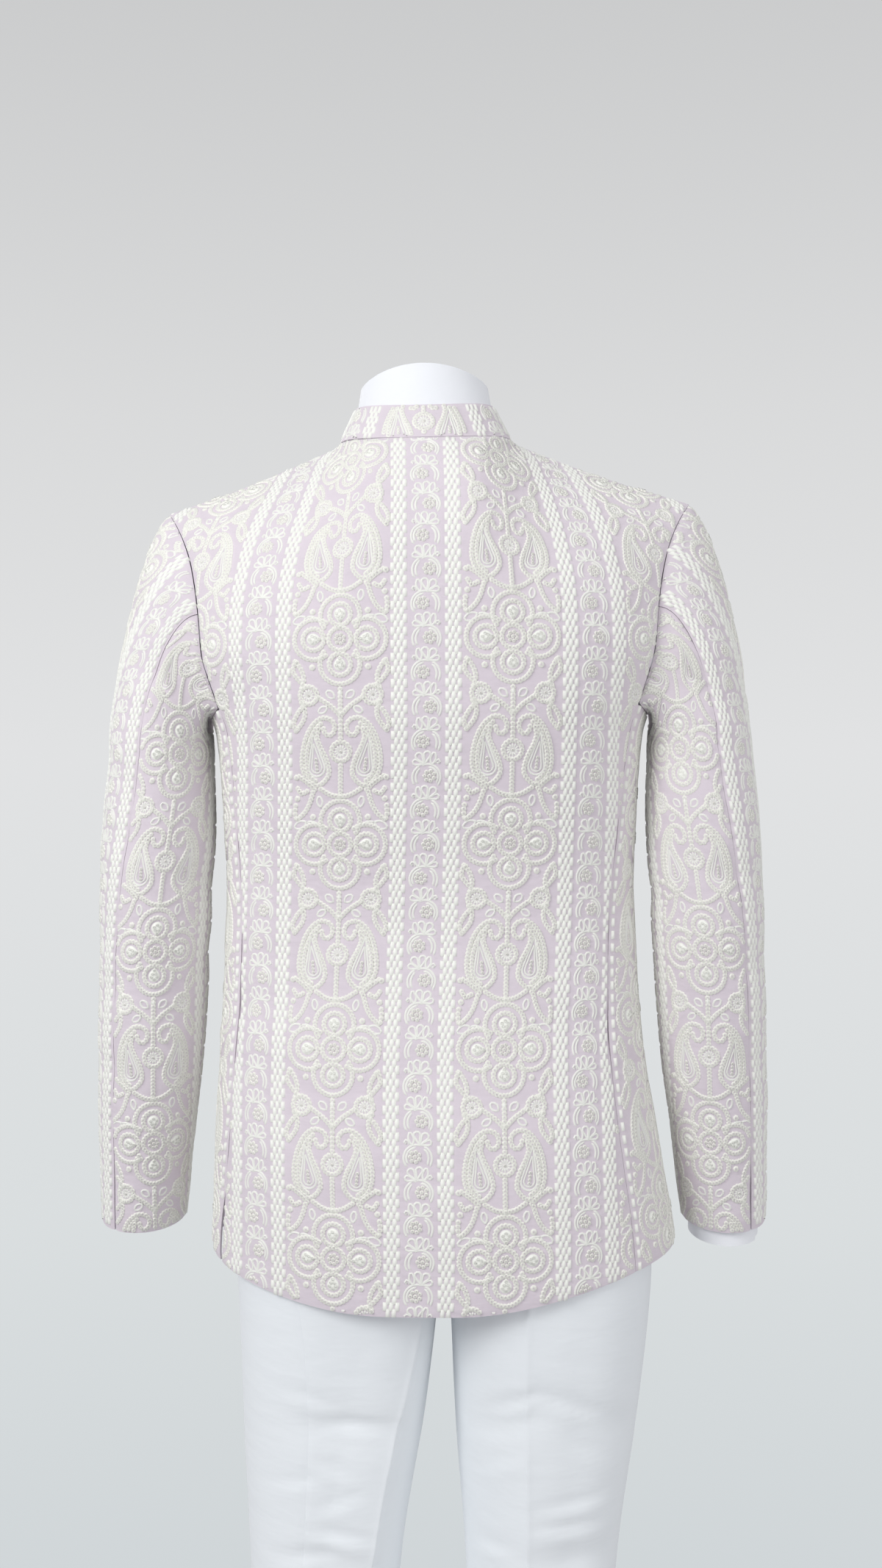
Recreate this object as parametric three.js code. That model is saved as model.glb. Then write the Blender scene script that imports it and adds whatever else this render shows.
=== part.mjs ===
// An indo-western outfit as it hangs when worn: a closed-neck jacket of embroidered cloth with a
// stand collar, side vents and two-piece sleeves, over a white shirt with a high band collar,
// with straight white trousers that have pressed creases.
// Millimetres, +Z up, the front faces -Y, the wearer's left is +X.
// The origin is the centre of the jacket's neck, level with the collar seam at the centre back.
import * as THREE from "three";

// Cloth and seams
const JACKETING = 1.8; // embroidered jacket cloth, lined
const COLLAR_CLOTH = 2.2; // stiffened collar band
const SHIRTING = 1.0;
const SUITING = 1.3; // trouser cloth
const SEAM = 0.3; // gap between two pieces that are sewn together

// The jacket's body, as level rings: half width, the depths of centre back and centre front, and
// how square the back and front halves are (2 is an ellipse).
const BODY = [
  { level: -760, halfWidth: 213, back: 113, front: -137, backSquare: 2.35, frontSquare: 2.25 },
  { level: -700, halfWidth: 207, back: 115, front: -136, backSquare: 2.35, frontSquare: 2.25 },
  { level: -640, halfWidth: 201, back: 113, front: -134, backSquare: 2.4, frontSquare: 2.25 },
  { level: -560, halfWidth: 193, back: 102, front: -129, backSquare: 2.45, frontSquare: 2.25 },
  { level: -480, halfWidth: 189, back: 89, front: -124, backSquare: 2.5, frontSquare: 2.25 },
  { level: -400, halfWidth: 187, back: 86, front: -123, backSquare: 2.5, frontSquare: 2.25 },
  { level: -330, halfWidth: 190, back: 95, front: -127, backSquare: 2.5, frontSquare: 2.25 },
  { level: -262, halfWidth: 195, back: 107, front: -129, backSquare: 2.5, frontSquare: 2.25 },
  { level: -238, halfWidth: 203, back: 110, front: -128, backSquare: 2.5, frontSquare: 2.25 },
  { level: -190, halfWidth: 222, back: 112, front: -125, backSquare: 2.5, frontSquare: 2.25 },
];
const BODY_MIDDLE = -4; // depth of the side of each ring, and of the shoulder seam at the neck
const HEM = -760;
const HEM_RISE = { back: 0, side: 36, front: 22 }; // how far the hem climbs round the body
const BLADE = -190; // above this level the cloth turns in over the shoulders
const UNDERARM = -238; // the level where the armhole starts on the back and front
const UNDERARM_DIP = 8; // how much lower it is in the middle of the side panel

// Widths of the panels in the flat cloth, from centre back, centre front, and across the side.
const BACK_WIDTH = [
  { level: -760, width: 197 },
  { level: -700, width: 192 },
  { level: -614, width: 181 },
  { level: -505, width: 172 },
  { level: -430, width: 172 },
  { level: -350, width: 181 },
  { level: -300, width: 188 },
  { level: -262, width: 195 },
  { level: -238, width: 202 },
  { level: -215, width: 209 },
  { level: -190, width: 215 },
  { level: -140, width: 221 },
  { level: -95, width: 228 },
  { level: -50, width: 238 },
  { level: 0, width: 250 },
];
const SIDE_WIDTH = [
  { level: -760, width: 118 },
  { level: -700, width: 112 },
  { level: -614, width: 98 },
  { level: -505, width: 86 },
  { level: -430, width: 84 },
  { level: -350, width: 91 },
  { level: -300, width: 97 },
  { level: -262, width: 100 },
  { level: -238, width: 98 },
];
const FRONT_ARMHOLE = [
  { level: -238, width: 236 },
  { level: -215, width: 219 },
  { level: -190, width: 209 },
  { level: -140, width: 204 },
  { level: -95, width: 209 },
  { level: -50, width: 226 },
  { level: 0, width: 250 },
];
// The jacket hangs a little twisted: its cloth slides round the body, towards the left at the back.
const SLIDE = [
  { level: -760, by: 21 },
  { level: -700, by: 17.5 },
  { level: -614, by: 12.5 },
  { level: -530, by: 8.5 },
  { level: -430, by: 4.5 },
  { level: -330, by: 1.5 },
  { level: -262, by: 0 },
  { level: -190, by: 0 },
];
// How far the whole outfit leans to the left at each height, and how its left shoulder drops.
const SWAY = [
  { level: 80, by: 4 },
  { level: 30, by: 3 },
  { level: -60, by: 0 },
  { level: -530, by: 0 },
  { level: -640, by: -5 },
  { level: -700, by: -9 },
  { level: -760, by: -11 },
  { level: -850, by: -8 },
  { level: -1010, by: 0 },
  { level: -1500, by: 12 },
];
const SHOULDER_TILT = { slope: 0.011, from: -420, to: -80 };
const LAP_LIFT = 2.4; // the left front lies this far out over the right one
const LAP_FADE = 70; // distance from the centre front where the lift has gone

// The neck: rings of the seam, the jacket collar's top and the shirt collar's top.
const NECK_SEAM = { halfWidth: 80, back: 66, front: -74, zBack: 0, zSide: 9, zFront: -62 };
const COLLAR_TOP = { halfWidth: 65, back: 46, front: -72, zBack: 34, zSide: 43, zFront: -26 };
const SHIRT_COLLAR_TOP = { halfWidth: 60, back: 37, front: -81, zBack: 74, zSide: 63, zFront: 25 };
const NECK_REACH = 82; // the flat distance from the centre to the neck end of the shoulder seam
const NECK_STEPS = 5; // straight stretches of the neck seam in each quarter
const FRONT_LAP = NECK_REACH * Math.sin(Math.PI / 2 / NECK_STEPS); // each front past the centre
const SHOULDER_POINT = { x: 242, y: -7, z: -50 };
const SHOULDER_SAG = 3;
const COLLAR_OPENING = 2.4; // half the gap between the collar's ends at the centre front
const COLLAR_CORNER = 14; // radius of the collar's front corners

// The sleeve, as level rings below the underarm.
const SLEEVE = [
  { level: -275, x: 248.5, y: 2, halfWidth: 47, halfDepth: 60 },
  { level: -342, x: 250.5, y: 4, halfWidth: 50.5, halfDepth: 59 },
  { level: -420, x: 254, y: 5, halfWidth: 50.5, halfDepth: 57 },
  { level: -553, x: 260.5, y: -3, halfWidth: 47.5, halfDepth: 52 },
  { level: -600, x: 264.5, y: -8, halfWidth: 45, halfDepth: 49 },
  { level: -660, x: 269, y: -17, halfWidth: 41.5, halfDepth: 46 },
  { level: -712, x: 273, y: -26, halfWidth: 38.5, halfDepth: 43 },
];
const SLEEVE_TOP = -275; // the first level ring
const SLEEVE_HEM = -712;
const CUFF_DROP = 5; // the cuff hangs this much lower at the back
// Where the sleeve's two seams run, in degrees round from the underarm towards the back, and how
// far down they are: 0 at the armhole, CAP at the first level ring, 1 at the hem.
const CAP = 0.3;
const SLEEVE_SEAMS = [
  { along: CAP, hind: 100, fore: -64 },
  { along: 0.6, hind: 122, fore: -60 },
  { along: 1, hind: 121, fore: -62 },
];
const SLEEVE_VENT = { length: 88, gap: 1.6 };
const BODY_VENT = { length: 64, gap: 5.5 }; // open on the left, closed on the right

// Soft folds: where, how long and wide, how deep (negative is a trough), and the tilt of the
// fold's line from the horizontal. `across` is the flat distance from centre back on the body,
// and degrees round from the underarm on a sleeve.
const BACK_FOLDS = [
  { across: -150, level: -520, length: 80, width: 22, depth: -2.5, tilt: 12 },
  { across: 152, level: -500, length: 80, width: 22, depth: -2.5, tilt: -14 },
  { across: 40, level: -430, length: 120, width: 24, depth: -2, tilt: 4 },
];
const SLEEVE_FOLDS = {
  left: [
    { across: 128, level: -300, length: 70, width: 18, depth: -2.6, tilt: 36 },
    { across: -60, level: -412, length: 70, width: 18, depth: -3.6, tilt: 4 },
    { across: 170, level: -452, length: 80, width: 20, depth: -2, tilt: -12 },
  ],
  right: [
    { across: 118, level: -232, length: 80, width: 16, depth: -4.6, tilt: -24 },
    { across: 84, level: -300, length: 70, width: 18, depth: -2.6, tilt: -30 },
    { across: -60, level: -404, length: 70, width: 18, depth: -3.6, tilt: -4 },
  ],
};

// Buttons down the centre front
const BUTTON = { radius: 9.5, depth: 5, clear: 0.5, levels: [-27, -142, -236, -314, -392, -470] };

// The shirt: how far in from the jacket's outer face it lies.
const SHIRT_INSET = [
  { level: -590, inset: 17 },
  { level: -480, inset: 12 },
  { level: -400, inset: 9 },
  { level: -300, inset: 5.4 },
  { level: -238, inset: 3.6 },
  { level: -150, inset: 2.8 },
  { level: 0, inset: 2.5 },
];
const SHIRT_HEM = -590;
const SHIRT_SLEEVE_INSET = 8.5; // from the outer face of the jacket's sleeve
const SHIRT_CUFF = { height: 60, cloth: 1.6, tuck: 2.1, overlap: 14, end: 128 };
const CUFF_SHOWS = { left: -8, right: 14 }; // how far each cuff reaches past the sleeve's hem
const SHIRT_COLLAR = { inset: 2.7, cloth: 1.8, opening: 0.5, corner: 12 };

// The trousers: how far in from the jacket's outer face they lie over the hips, then a ring for
// each leg, which is squarer on the inside at its top, and has pressed creases.
const HIPS = [
  { level: -448, inset: 7.6 },
  { level: -490, inset: 7.6 },
  { level: -560, inset: 8.5 },
  { level: -640, inset: 11 },
  { level: -712, inset: 16 },
];
const LEG = [
  { level: -712, inner: 0.2, outer: 191, back: 97, front: -106, innerSquare: 3.6, crease: 0 },
  { level: -760, inner: 4, outer: 190, back: 93, front: -100, innerSquare: 3.1, crease: 4 },
  { level: -884, inner: 14, outer: 181, back: 78, front: -86, innerSquare: 2.5, crease: 8 },
  { level: -1000, inner: 28, outer: 170, back: 70, front: -74, innerSquare: 2.3, crease: 10 },
  { level: -1120, inner: 36, outer: 163, back: 68, front: -68, innerSquare: 2.2, crease: 11 },
  { level: -1300, inner: 39, outer: 158, back: 70, front: -66, innerSquare: 2.2, crease: 12 },
  { level: -1500, inner: 40, outer: 154, back: 74, front: -66, innerSquare: 2.2, crease: 13 },
];
const OUTER_SQUARE = 2.3;
const LEG_MIDDLE = -3; // depth of the leg's side
const SEAT = -598; // the seat seam turns forward below this
const CROTCH = -712;
const CROTCH_DEPTH = -8;
const TROUSER_HEM = -1500;
const TROUSER_HEM_BACK_DROP = 9;
const WAISTBAND = { top: -448, height: 38, cloth: 1.8 };
const CREASE_REACH = 0.16; // how far round the leg a crease lifts the cloth, as a share
// Where the leg's seams and creases run: 0 is the inside leg, 0.5 the back, 1 the side, 1.5 the
// front and 2 the inside leg again. The left leg hangs turned a little inwards.
const LEG_LINES = {
  left: [
    { level: -448, inseam: 0, side: 1, backCrease: 0.62, frontCrease: 1.4 },
    { level: -600, inseam: 0, side: 0.86, backCrease: 0.5, frontCrease: 1.38 },
    { level: -712, inseam: 0, side: 0.66, backCrease: 0.29, frontCrease: 1.34 },
    { level: -764, inseam: -0.02, side: 0.6, backCrease: 0.25, frontCrease: 1.32 },
    { level: -948, inseam: -0.07, side: 0.565, backCrease: 0.31, frontCrease: 1.31 },
    { level: -1500, inseam: -0.08, side: 0.66, backCrease: 0.36, frontCrease: 1.34 },
  ],
  right: [
    { level: -448, inseam: 0, side: 1, backCrease: 0.62, frontCrease: 1.42 },
    { level: -600, inseam: 0, side: 0.98, backCrease: 0.56, frontCrease: 1.44 },
    { level: -764, inseam: 0, side: 0.95, backCrease: 0.44, frontCrease: 1.46 },
    { level: -948, inseam: -0.02, side: 0.93, backCrease: 0.437, frontCrease: 1.46 },
    { level: -1500, inseam: -0.03, side: 0.94, backCrease: 0.46, frontCrease: 1.47 },
  ],
};
// Folds of the legs; `across` is a place round the leg as above, in hundredths.
const LEG_FOLDS = {
  left: [
    { across: 42, level: -872, length: 80, width: 15, depth: -4.2, tilt: 6 },
    { across: 44, level: -996, length: 80, width: 15, depth: -4, tilt: 5 },
    { across: 50, level: -1042, length: 80, width: 15, depth: -3, tilt: -6 },
    { across: 150, level: -1436, length: 80, width: 18, depth: -5, tilt: 4 },
  ],
  right: [
    { across: 38, level: -860, length: 60, width: 15, depth: -3.8, tilt: 24 },
    { across: 72, level: -872, length: 64, width: 15, depth: -4, tilt: -28 },
    { across: 60, level: -990, length: 90, width: 15, depth: -4, tilt: -2 },
    { across: 150, level: -1436, length: 80, width: 18, depth: -5, tilt: -4 },
  ],
};

const LILAC = 0xcdbbd9;
const WHITE = 0xf3f4f6;
const IVORY = 0xefead9;
const materials = {
  jacket: new THREE.MeshStandardMaterial({ color: LILAC, roughness: 0.72, metalness: 0 }),
  shirt: new THREE.MeshStandardMaterial({ color: WHITE, roughness: 0.8, metalness: 0 }),
  trousers: new THREE.MeshStandardMaterial({ color: WHITE, roughness: 0.75, metalness: 0 }),
  button: new THREE.MeshStandardMaterial({ color: IVORY, roughness: 0.45, metalness: 0 }),
};

const DEGREE = Math.PI / 180;
const mix = (a, b, t) => a + (b - a) * t;
const clamp = (v, low, high) => Math.min(high, Math.max(low, v));
const smooth = (v, low, high) => THREE.MathUtils.smoothstep(v, low, high);

// Reads one column of a table at any level or share, along smooth curves through its rows.
function read(table, column, at, key = "level") {
  const rows = table[0][key] < table[table.length - 1][key] ? table : [...table].reverse();
  const last = rows.length - 1;
  const where = clamp(at, rows[0][key], rows[last][key]);
  let i = 0;
  while (i < last - 1 && rows[i + 1][key] < where) i += 1;
  const slope = (a, b) => (rows[b][column] - rows[a][column]) / (rows[b][key] - rows[a][key]);
  const tangent = (j) => (j === 0 ? slope(0, 1) : j === last ? slope(last - 1, last) : slope(j - 1, j + 1));
  const span = rows[i + 1][key] - rows[i][key];
  const t = (where - rows[i][key]) / span;
  const [a, b] = [rows[i][column], rows[i + 1][column]];
  return (
    a * (1 + 2 * t) * (1 - t) ** 2 +
    b * t ** 2 * (3 - 2 * t) +
    span * (tangent(i) * t * (1 - t) ** 2 + tangent(i + 1) * t ** 2 * (t - 1))
  );
}

// How far a list of folds lifts the cloth at a place. `scale` turns `across` into millimetres.
function lifted(folds, across, level, scale = 1) {
  return folds.reduce((sum, fold) => {
    const [dx, dz] = [(across - fold.across) * scale, level - fold.level];
    const [c, s] = [Math.cos(fold.tilt * DEGREE), Math.sin(fold.tilt * DEGREE)];
    const along = (dx * c + dz * s) / fold.length;
    const aside = (dz * c - dx * s) / fold.width;
    if (Math.abs(along) > 1) return sum;
    return sum + fold.depth * (1 - along ** 2) ** 2 * Math.exp(-(aside ** 2));
  }, 0);
}

// The half ring of the body at a level, from centre back round to centre front, as points with
// their distance along the cloth.
const RING_STEPS = 120;
const rings = new Map();
function halfRing(level) {
  const key = level.toFixed(2);
  if (rings.has(key)) return rings.get(key);
  const [halfWidth, back, front] = ["halfWidth", "back", "front"].map((c) => read(BODY, c, level));
  const points = [];
  for (let i = 0; i <= RING_STEPS; i += 1) {
    const turn = (Math.PI * i) / RING_STEPS;
    const behind = turn < Math.PI / 2;
    const power = 2 / read(BODY, behind ? "backSquare" : "frontSquare", level);
    const reach = (behind ? back : front) - BODY_MIDDLE;
    const x = halfWidth * Math.sin(turn) ** power;
    points.push([x, BODY_MIDDLE + reach * Math.abs(Math.cos(turn)) ** power]);
  }
  const along = [0];
  for (let i = 1; i < points.length; i += 1) {
    along.push(along[i - 1] + Math.hypot(points[i][0] - points[i - 1][0], points[i][1] - points[i - 1][1]));
  }
  rings.set(key, { points, along });
  return rings.get(key);
}

// The ring's point at a distance from centre back: it runs on past centre front to the other side.
function onRing(level, distance) {
  const { points, along } = halfRing(level);
  const girth = along[RING_STEPS];
  const past = Math.abs(distance) > girth;
  const where = past ? 2 * girth - Math.abs(distance) : Math.abs(distance);
  const side = distance < 0 !== past ? -1 : 1;
  let i = 0;
  while (i < RING_STEPS - 1 && along[i + 1] < where) i += 1;
  const t = (where - along[i]) / (along[i + 1] - along[i]);
  return [side * mix(points[i][0], points[i + 1][0], t), mix(points[i][1], points[i + 1][1], t)];
}

const halfGirth = (level) => halfRing(level).along[RING_STEPS];
const widthOf = (table, level) => read(table, "width", level);
const frontWidth = (level) =>
  level <= UNDERARM
    ? halfGirth(level) - widthOf(BACK_WIDTH, level) - widthOf(SIDE_WIDTH, level)
    : widthOf(FRONT_ARMHOLE, level);

// The real height of a level, where the hem climbs round the body. `round` runs from 0 at centre
// back to 1 at centre front.
function heightOf(level, round) {
  const { back, side, front } = HEM_RISE;
  const rise = round < 0.5 ? mix(back, side, smooth(round, 0.06, 0.5)) : mix(side, front, smooth(round, 0.5, 0.85));
  return level + rise * smooth(-level, -BLADE, -HEM);
}

// A neck ring's point; `turn` is 0 at centre back and 180 degrees at centre front.
function neckPoint(ring, turn) {
  const c = Math.cos(turn);
  const depth = c > 0 ? ring.back : ring.front;
  const height = c > 0 ? ring.zBack : ring.zFront;
  const middle = (ring.back + ring.front) / 2;
  return new THREE.Vector3(
    ring.halfWidth * Math.sin(turn),
    middle + (depth - middle) * Math.abs(c),
    ring.zSide + (height - ring.zSide) * c * c,
  );
}

// The top edge of a body panel at a flat distance from its centre: the neck, then the shoulder.
function topEdge(distance, behind) {
  if (distance <= NECK_REACH) {
    const turn = Math.asin(distance / NECK_REACH);
    return neckPoint(NECK_SEAM, behind ? turn : Math.PI - turn);
  }
  const t = (distance - NECK_REACH) / (widthOf(BACK_WIDTH, 0) - NECK_REACH);
  const neck = neckPoint(NECK_SEAM, Math.PI / 2);
  return new THREE.Vector3(
    mix(neck.x, SHOULDER_POINT.x, t),
    mix(neck.y, SHOULDER_POINT.y, t),
    mix(neck.z, SHOULDER_POINT.z, t) - SHOULDER_SAG * Math.sin(Math.PI * clamp(t, 0, 1)),
  );
}

// The body's ring at a distance from centre back, slid round as the cloth hangs. Pieces of the
// right side are made on the left and turned over, so for them `hand` is -1.
function ringPoint(level, distance, hand) {
  const [x, y] = onRing(level, distance + hand * read(SLIDE, "by", level));
  const share = Math.abs(distance) / halfGirth(level);
  return new THREE.Vector3(x, y, heightOf(level, share > 1 ? 2 - share : share));
}

// A point of the jacket's body. `across` is the flat distance from centre back or centre front,
// negative past the centre line; `level` is the height up to the blade, then runs to 0 at the top.
function bodyPoint(across, level, behind, hand) {
  const distance = Math.abs(across);
  const side = across < 0 ? -1 : 1;
  if (level <= BLADE) return ringPoint(level, behind ? across : halfGirth(level) - across, hand);
  const base = ringPoint(BLADE, behind ? distance : halfGirth(BLADE) - distance, hand);
  const top = topEdge(distance, behind);
  const reach = base.distanceTo(top);
  const slopes = behind ? [52, 30, 28] : [16, 42, 40]; // below the horizontal: centre, neck end, shoulder end
  const slope =
    distance < NECK_REACH
      ? mix(slopes[0], slopes[1], smooth(distance, 0, NECK_REACH))
      : mix(slopes[1], slopes[2], (distance - NECK_REACH) / 150);
  const fall = (behind ? slope : distance < NECK_REACH ? mix(74, 42, smooth(distance, 0, NECK_REACH)) : slope) * DEGREE;
  const out = new THREE.Vector3(0, (behind ? 1 : -1) * Math.cos(fall), -Math.sin(fall));
  const curve = new THREE.CubicBezierCurve3(
    base,
    base.clone().add(new THREE.Vector3(0, 0, 0.42 * reach)),
    top.clone().addScaledVector(out, 0.34 * reach),
    top,
  );
  return curve.getPoint((level - BLADE) / -BLADE).multiply(new THREE.Vector3(side, 1, 1));
}

// A point of the side panel; `share` runs from its back seam to its front seam.
const sidePoint = (share, level, hand) =>
  ringPoint(level, widthOf(BACK_WIDTH, level) + share * widthOf(SIDE_WIDTH, level), hand);

// Turns a surface into a skin that can be lifted off itself: `centre` says which way is in.
const STEP = 0.4;
function skin(surface, centre, steps = [STEP, STEP]) {
  return (a, b, lift, hand = 1) => {
    const p = surface(a, b, hand);
    const du = surface(a + steps[0], b, hand).sub(surface(a - steps[0], b, hand));
    const dv = surface(a, b + steps[1], hand).sub(surface(a, b - steps[1], hand));
    const normal = du.cross(dv).normalize();
    if (normal.dot(p.clone().sub(centre(p))) < 0) normal.negate();
    return p.addScaledVector(normal, lift);
  };
}

const bodyCentre = (p) => new THREE.Vector3(0, BODY_MIDDLE, Math.min(p.z, -150));
const backSkin = skin((x, z, hand) => bodyPoint(x, Math.min(z, 0), true, hand), bodyCentre);
const frontSkin = skin((x, z, hand) => bodyPoint(x, Math.min(z, 0), false, hand), bodyCentre);
const sideSkin = skin(sidePoint, bodyCentre, [0.004, STEP]);

// A closed wall between an outer and an inner grid of points, rows of the same length. Its first
// `crossed` columns are split along the other diagonal.
function wall(outer, inner, crossed = 0) {
  const [rows, columns] = [outer.length, outer[0].length];
  const at = (layer, r, c) => layer * rows * columns + r * columns + c;
  const faces = [];
  const quad = (a, b, c, d) => faces.push(a, b, c, a, c, d);
  for (let r = 0; r < rows - 1; r += 1) {
    for (let c = 0; c < columns - 1; c += 1) {
      const start = c < crossed ? 1 : 0;
      for (const layer of [0, 1]) {
        const ring = [at(layer, r, c), at(layer, r, c + 1), at(layer, r + 1, c + 1), at(layer, r + 1, c)];
        const [i, j, k, l] = [...ring.slice(start), ...ring.slice(0, start)];
        if (layer) quad(i, l, k, j);
        else quad(i, j, k, l);
      }
    }
    quad(at(0, r, 0), at(0, r + 1, 0), at(1, r + 1, 0), at(1, r, 0));
    quad(at(1, r, columns - 1), at(1, r + 1, columns - 1), at(0, r + 1, columns - 1), at(0, r, columns - 1));
  }
  for (let c = 0; c < columns - 1; c += 1) {
    quad(at(1, 0, c), at(1, 0, c + 1), at(0, 0, c + 1), at(0, 0, c));
    quad(at(0, rows - 1, c), at(0, rows - 1, c + 1), at(1, rows - 1, c + 1), at(1, rows - 1, c));
  }
  const points = [...outer.flat(), ...inner.flat()];
  const volume = faces.reduce((sum, _, i) => {
    if (i % 3) return sum;
    const [a, b, c] = [points[faces[i]], points[faces[i + 1]], points[faces[i + 2]]];
    return sum + a.dot(b.clone().cross(c));
  }, 0);
  const turned = volume < 0 ? faces.map((_, i) => faces[i - (i % 3) + ((3 - (i % 3)) % 3)]) : faces;
  const geometry = new THREE.BufferGeometry();
  geometry.setAttribute("position", new THREE.Float32BufferAttribute(points.flatMap((p) => p.toArray()), 3));
  geometry.setIndex(turned);
  geometry.computeVertexNormals();
  return geometry;
}

// A wall over a grid of places: `place(u, v)` gives the outer point and the inner point.
function panel(columns, rows, place, crossed = 0) {
  const grid = rows.map((v) => columns.map((u) => place(u, v)));
  return wall(grid.map((row) => row.map((p) => p[0])), grid.map((row) => row.map((p) => p[1])), crossed);
}

// A wall on a grid of outer points, with its normals from the grid. `beside(r, first)` is the next
// point of the piece sewn to that edge, so that both have one normal there. `lift(r, c)` raises
// the cloth, `pull(r, first)` draws a side edge in, and `firstInner` are the first row's inner points.
function shell(outer, options) {
  const { cloth, centre, beside, firstInner, turned = false } = options;
  const { lift = () => 0, pull = () => inSeam } = options;
  const [rows, columns] = [outer.length, outer[0].length];
  const nextTo = (r, c) => {
    if (c >= 0 && c < columns) return outer[r][c];
    return (beside && beside(r, c < 0)) || outer[r][clamp(c, 0, columns - 1)];
  };
  const normals = outer.map((row, r) =>
    row.map((p, c) => {
      const du = nextTo(r, c + 1).clone().sub(nextTo(r, c - 1));
      const dv = outer[Math.min(r + 1, rows - 1)][c].clone().sub(outer[Math.max(r - 1, 0)][c]);
      return du.cross(dv).normalize();
    }),
  );
  const [mr, mc] = [Math.floor(rows / 2), Math.floor(columns / 2)];
  const sign = normals[mr][mc].dot(outer[mr][mc].clone().sub(centre)) < 0 ? -1 : 1;
  const layer = (depth) =>
    outer.map((row, r) =>
      row.map((p, c) => {
        if (r === 0 && firstInner) return depth ? firstInner[c].clone() : p.clone();
        return p.clone().addScaledVector(normals[r][c], sign * (lift(r, c) - depth));
      }),
    );
  const pulled = (grid) =>
    grid.map((row, r) => {
      const moved = row.map((p) => p.clone());
      for (const [edge, next] of [[0, 1], [columns - 1, columns - 2]]) {
        moved[edge].addScaledVector(row[next].clone().sub(row[edge]).normalize(), pull(r, edge === 0));
      }
      return turned ? moved.map(mirrored) : moved;
    });
  return wall(pulled(layer(0)), pulled(layer(cloth)));
}

const inSeam = SEAM / 2;
const steps = (from, to, count) => Array.from({ length: count + 1 }, (_, i) => mix(from, to, i / count));
const mirrored = (p) => new THREE.Vector3(-p.x, p.y, p.z);
const outfit = new THREE.Group();

// Moves a point as the worn outfit leans; the sleeves keep their own place below the shoulders.
function leaned(p, isSleeve) {
  const { slope, from, to } = SHOULDER_TILT;
  const drop = slope * p.x * smooth(p.z, from, to);
  const by = isSleeve ? 0 : read(SWAY, "by", p.z);
  return new THREE.Vector3(p.x + by, p.y, p.z - drop);
}

function add(name, geometry, material) {
  const position = geometry.getAttribute("position");
  for (let i = 0; i < position.count; i += 1) {
    const p = leaned(new THREE.Vector3().fromBufferAttribute(position, i), /sleeve|cuff/.test(name));
    position.setXYZ(i, p.x, p.y, p.z);
  }
  const mesh = new THREE.Mesh(geometry, material);
  mesh.name = name;
  outfit.add(mesh);
}

// Columns of a half body at the shoulder: even turns of the neck, then along the shoulder seam.
const NECK_TURNS = steps(0, Math.PI / 2, NECK_STEPS);
const SHOULDER_WIDTH = widthOf(BACK_WIDTH, 0);
const SHOULDER_COLUMNS = [
  ...NECK_TURNS.map((turn) => NECK_REACH * Math.sin(turn)),
  ...steps(NECK_REACH, SHOULDER_WIDTH, 5).slice(1),
];
const BACK_COLUMNS = SHOULDER_COLUMNS.map((x) => x / SHOULDER_WIDTH);
const FRONT_COLUMNS = [-FRONT_LAP, ...SHOULDER_COLUMNS];
// Where a front's column lies at a level with this much width.
const frontColumn = (x, width) =>
  x <= FRONT_LAP ? x : mix(FRONT_LAP, width, (x - FRONT_LAP) / (SHOULDER_WIDTH - FRONT_LAP));
const bothSides = (columns) => [...columns.slice(1).reverse().map((u) => -u), ...columns];

// The outer and inner points of a body panel. At the shoulder seam the wall stands upright, so
// that the back and front meet there without crossing.
function bodyPair(across, level, lift, cloth, { behind, hand = 1, neckTrim = inSeam }) {
  const surface = behind ? backSkin : frontSkin;
  const z = Math.min(level, Math.abs(across) < NECK_REACH + 1 ? -neckTrim : -inSeam);
  if (level < -0.01 || Math.abs(across) < NECK_REACH - 0.5) {
    return [0, -cloth].map((depth) => surface(across, z, lift + depth, hand));
  }
  const flat = surface(across, z, 0, hand);
  const up = [backSkin, frontSkin]
    .map((other) => other(across, -2, 1).sub(other(across, -2, 0)))
    .reduce((sum, n) => sum.add(n), new THREE.Vector3())
    .normalize();
  return [lift, lift - cloth].map((depth) => flat.clone().addScaledVector(up, depth));
}

// The jacket's body
const LOWER_ROWS = [-760, -735, -700, -650, -600, -555, -515, -475, -435, -390, -340, -295, -262];
const UPPER_ROWS = [UNDERARM, -214, BLADE, -152, -112, -72, -34, 0];

function backGeometry() {
  return panel(bothSides(BACK_COLUMNS), [...LOWER_ROWS, ...UPPER_ROWS], (u, level) => {
    const across = u * (widthOf(BACK_WIDTH, level) - inSeam);
    return bodyPair(across, level, lifted(BACK_FOLDS, across, level), JACKETING, { behind: true });
  });
}

const lapLift = (across) => LAP_LIFT * (1 - smooth(across, FRONT_LAP + 8, LAP_FADE));

function frontGeometry(side) {
  const left = side === "left";
  const hand = left ? 1 : -1;
  const place = (x, level) => {
    const across = frontColumn(x, frontWidth(level) - inSeam);
    const pair = bodyPair(across, level, left ? lapLift(across) : 0, JACKETING, { behind: false, hand });
    return left ? pair : pair.map(mirrored);
  };
  return panel(FRONT_COLUMNS, [...LOWER_ROWS, ...UPPER_ROWS], place, 1);
}

const underarmLevel = (share) => UNDERARM - UNDERARM_DIP * Math.sin(Math.PI * clamp(share, 0, 1));
function ventGap(level, side) {
  if (side !== "left") return 0;
  const t = clamp((level - HEM) / BODY_VENT.length, 0, 1);
  return BODY_VENT.gap * Math.sin(Math.PI * mix(0.22, 1, t));
}

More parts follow.
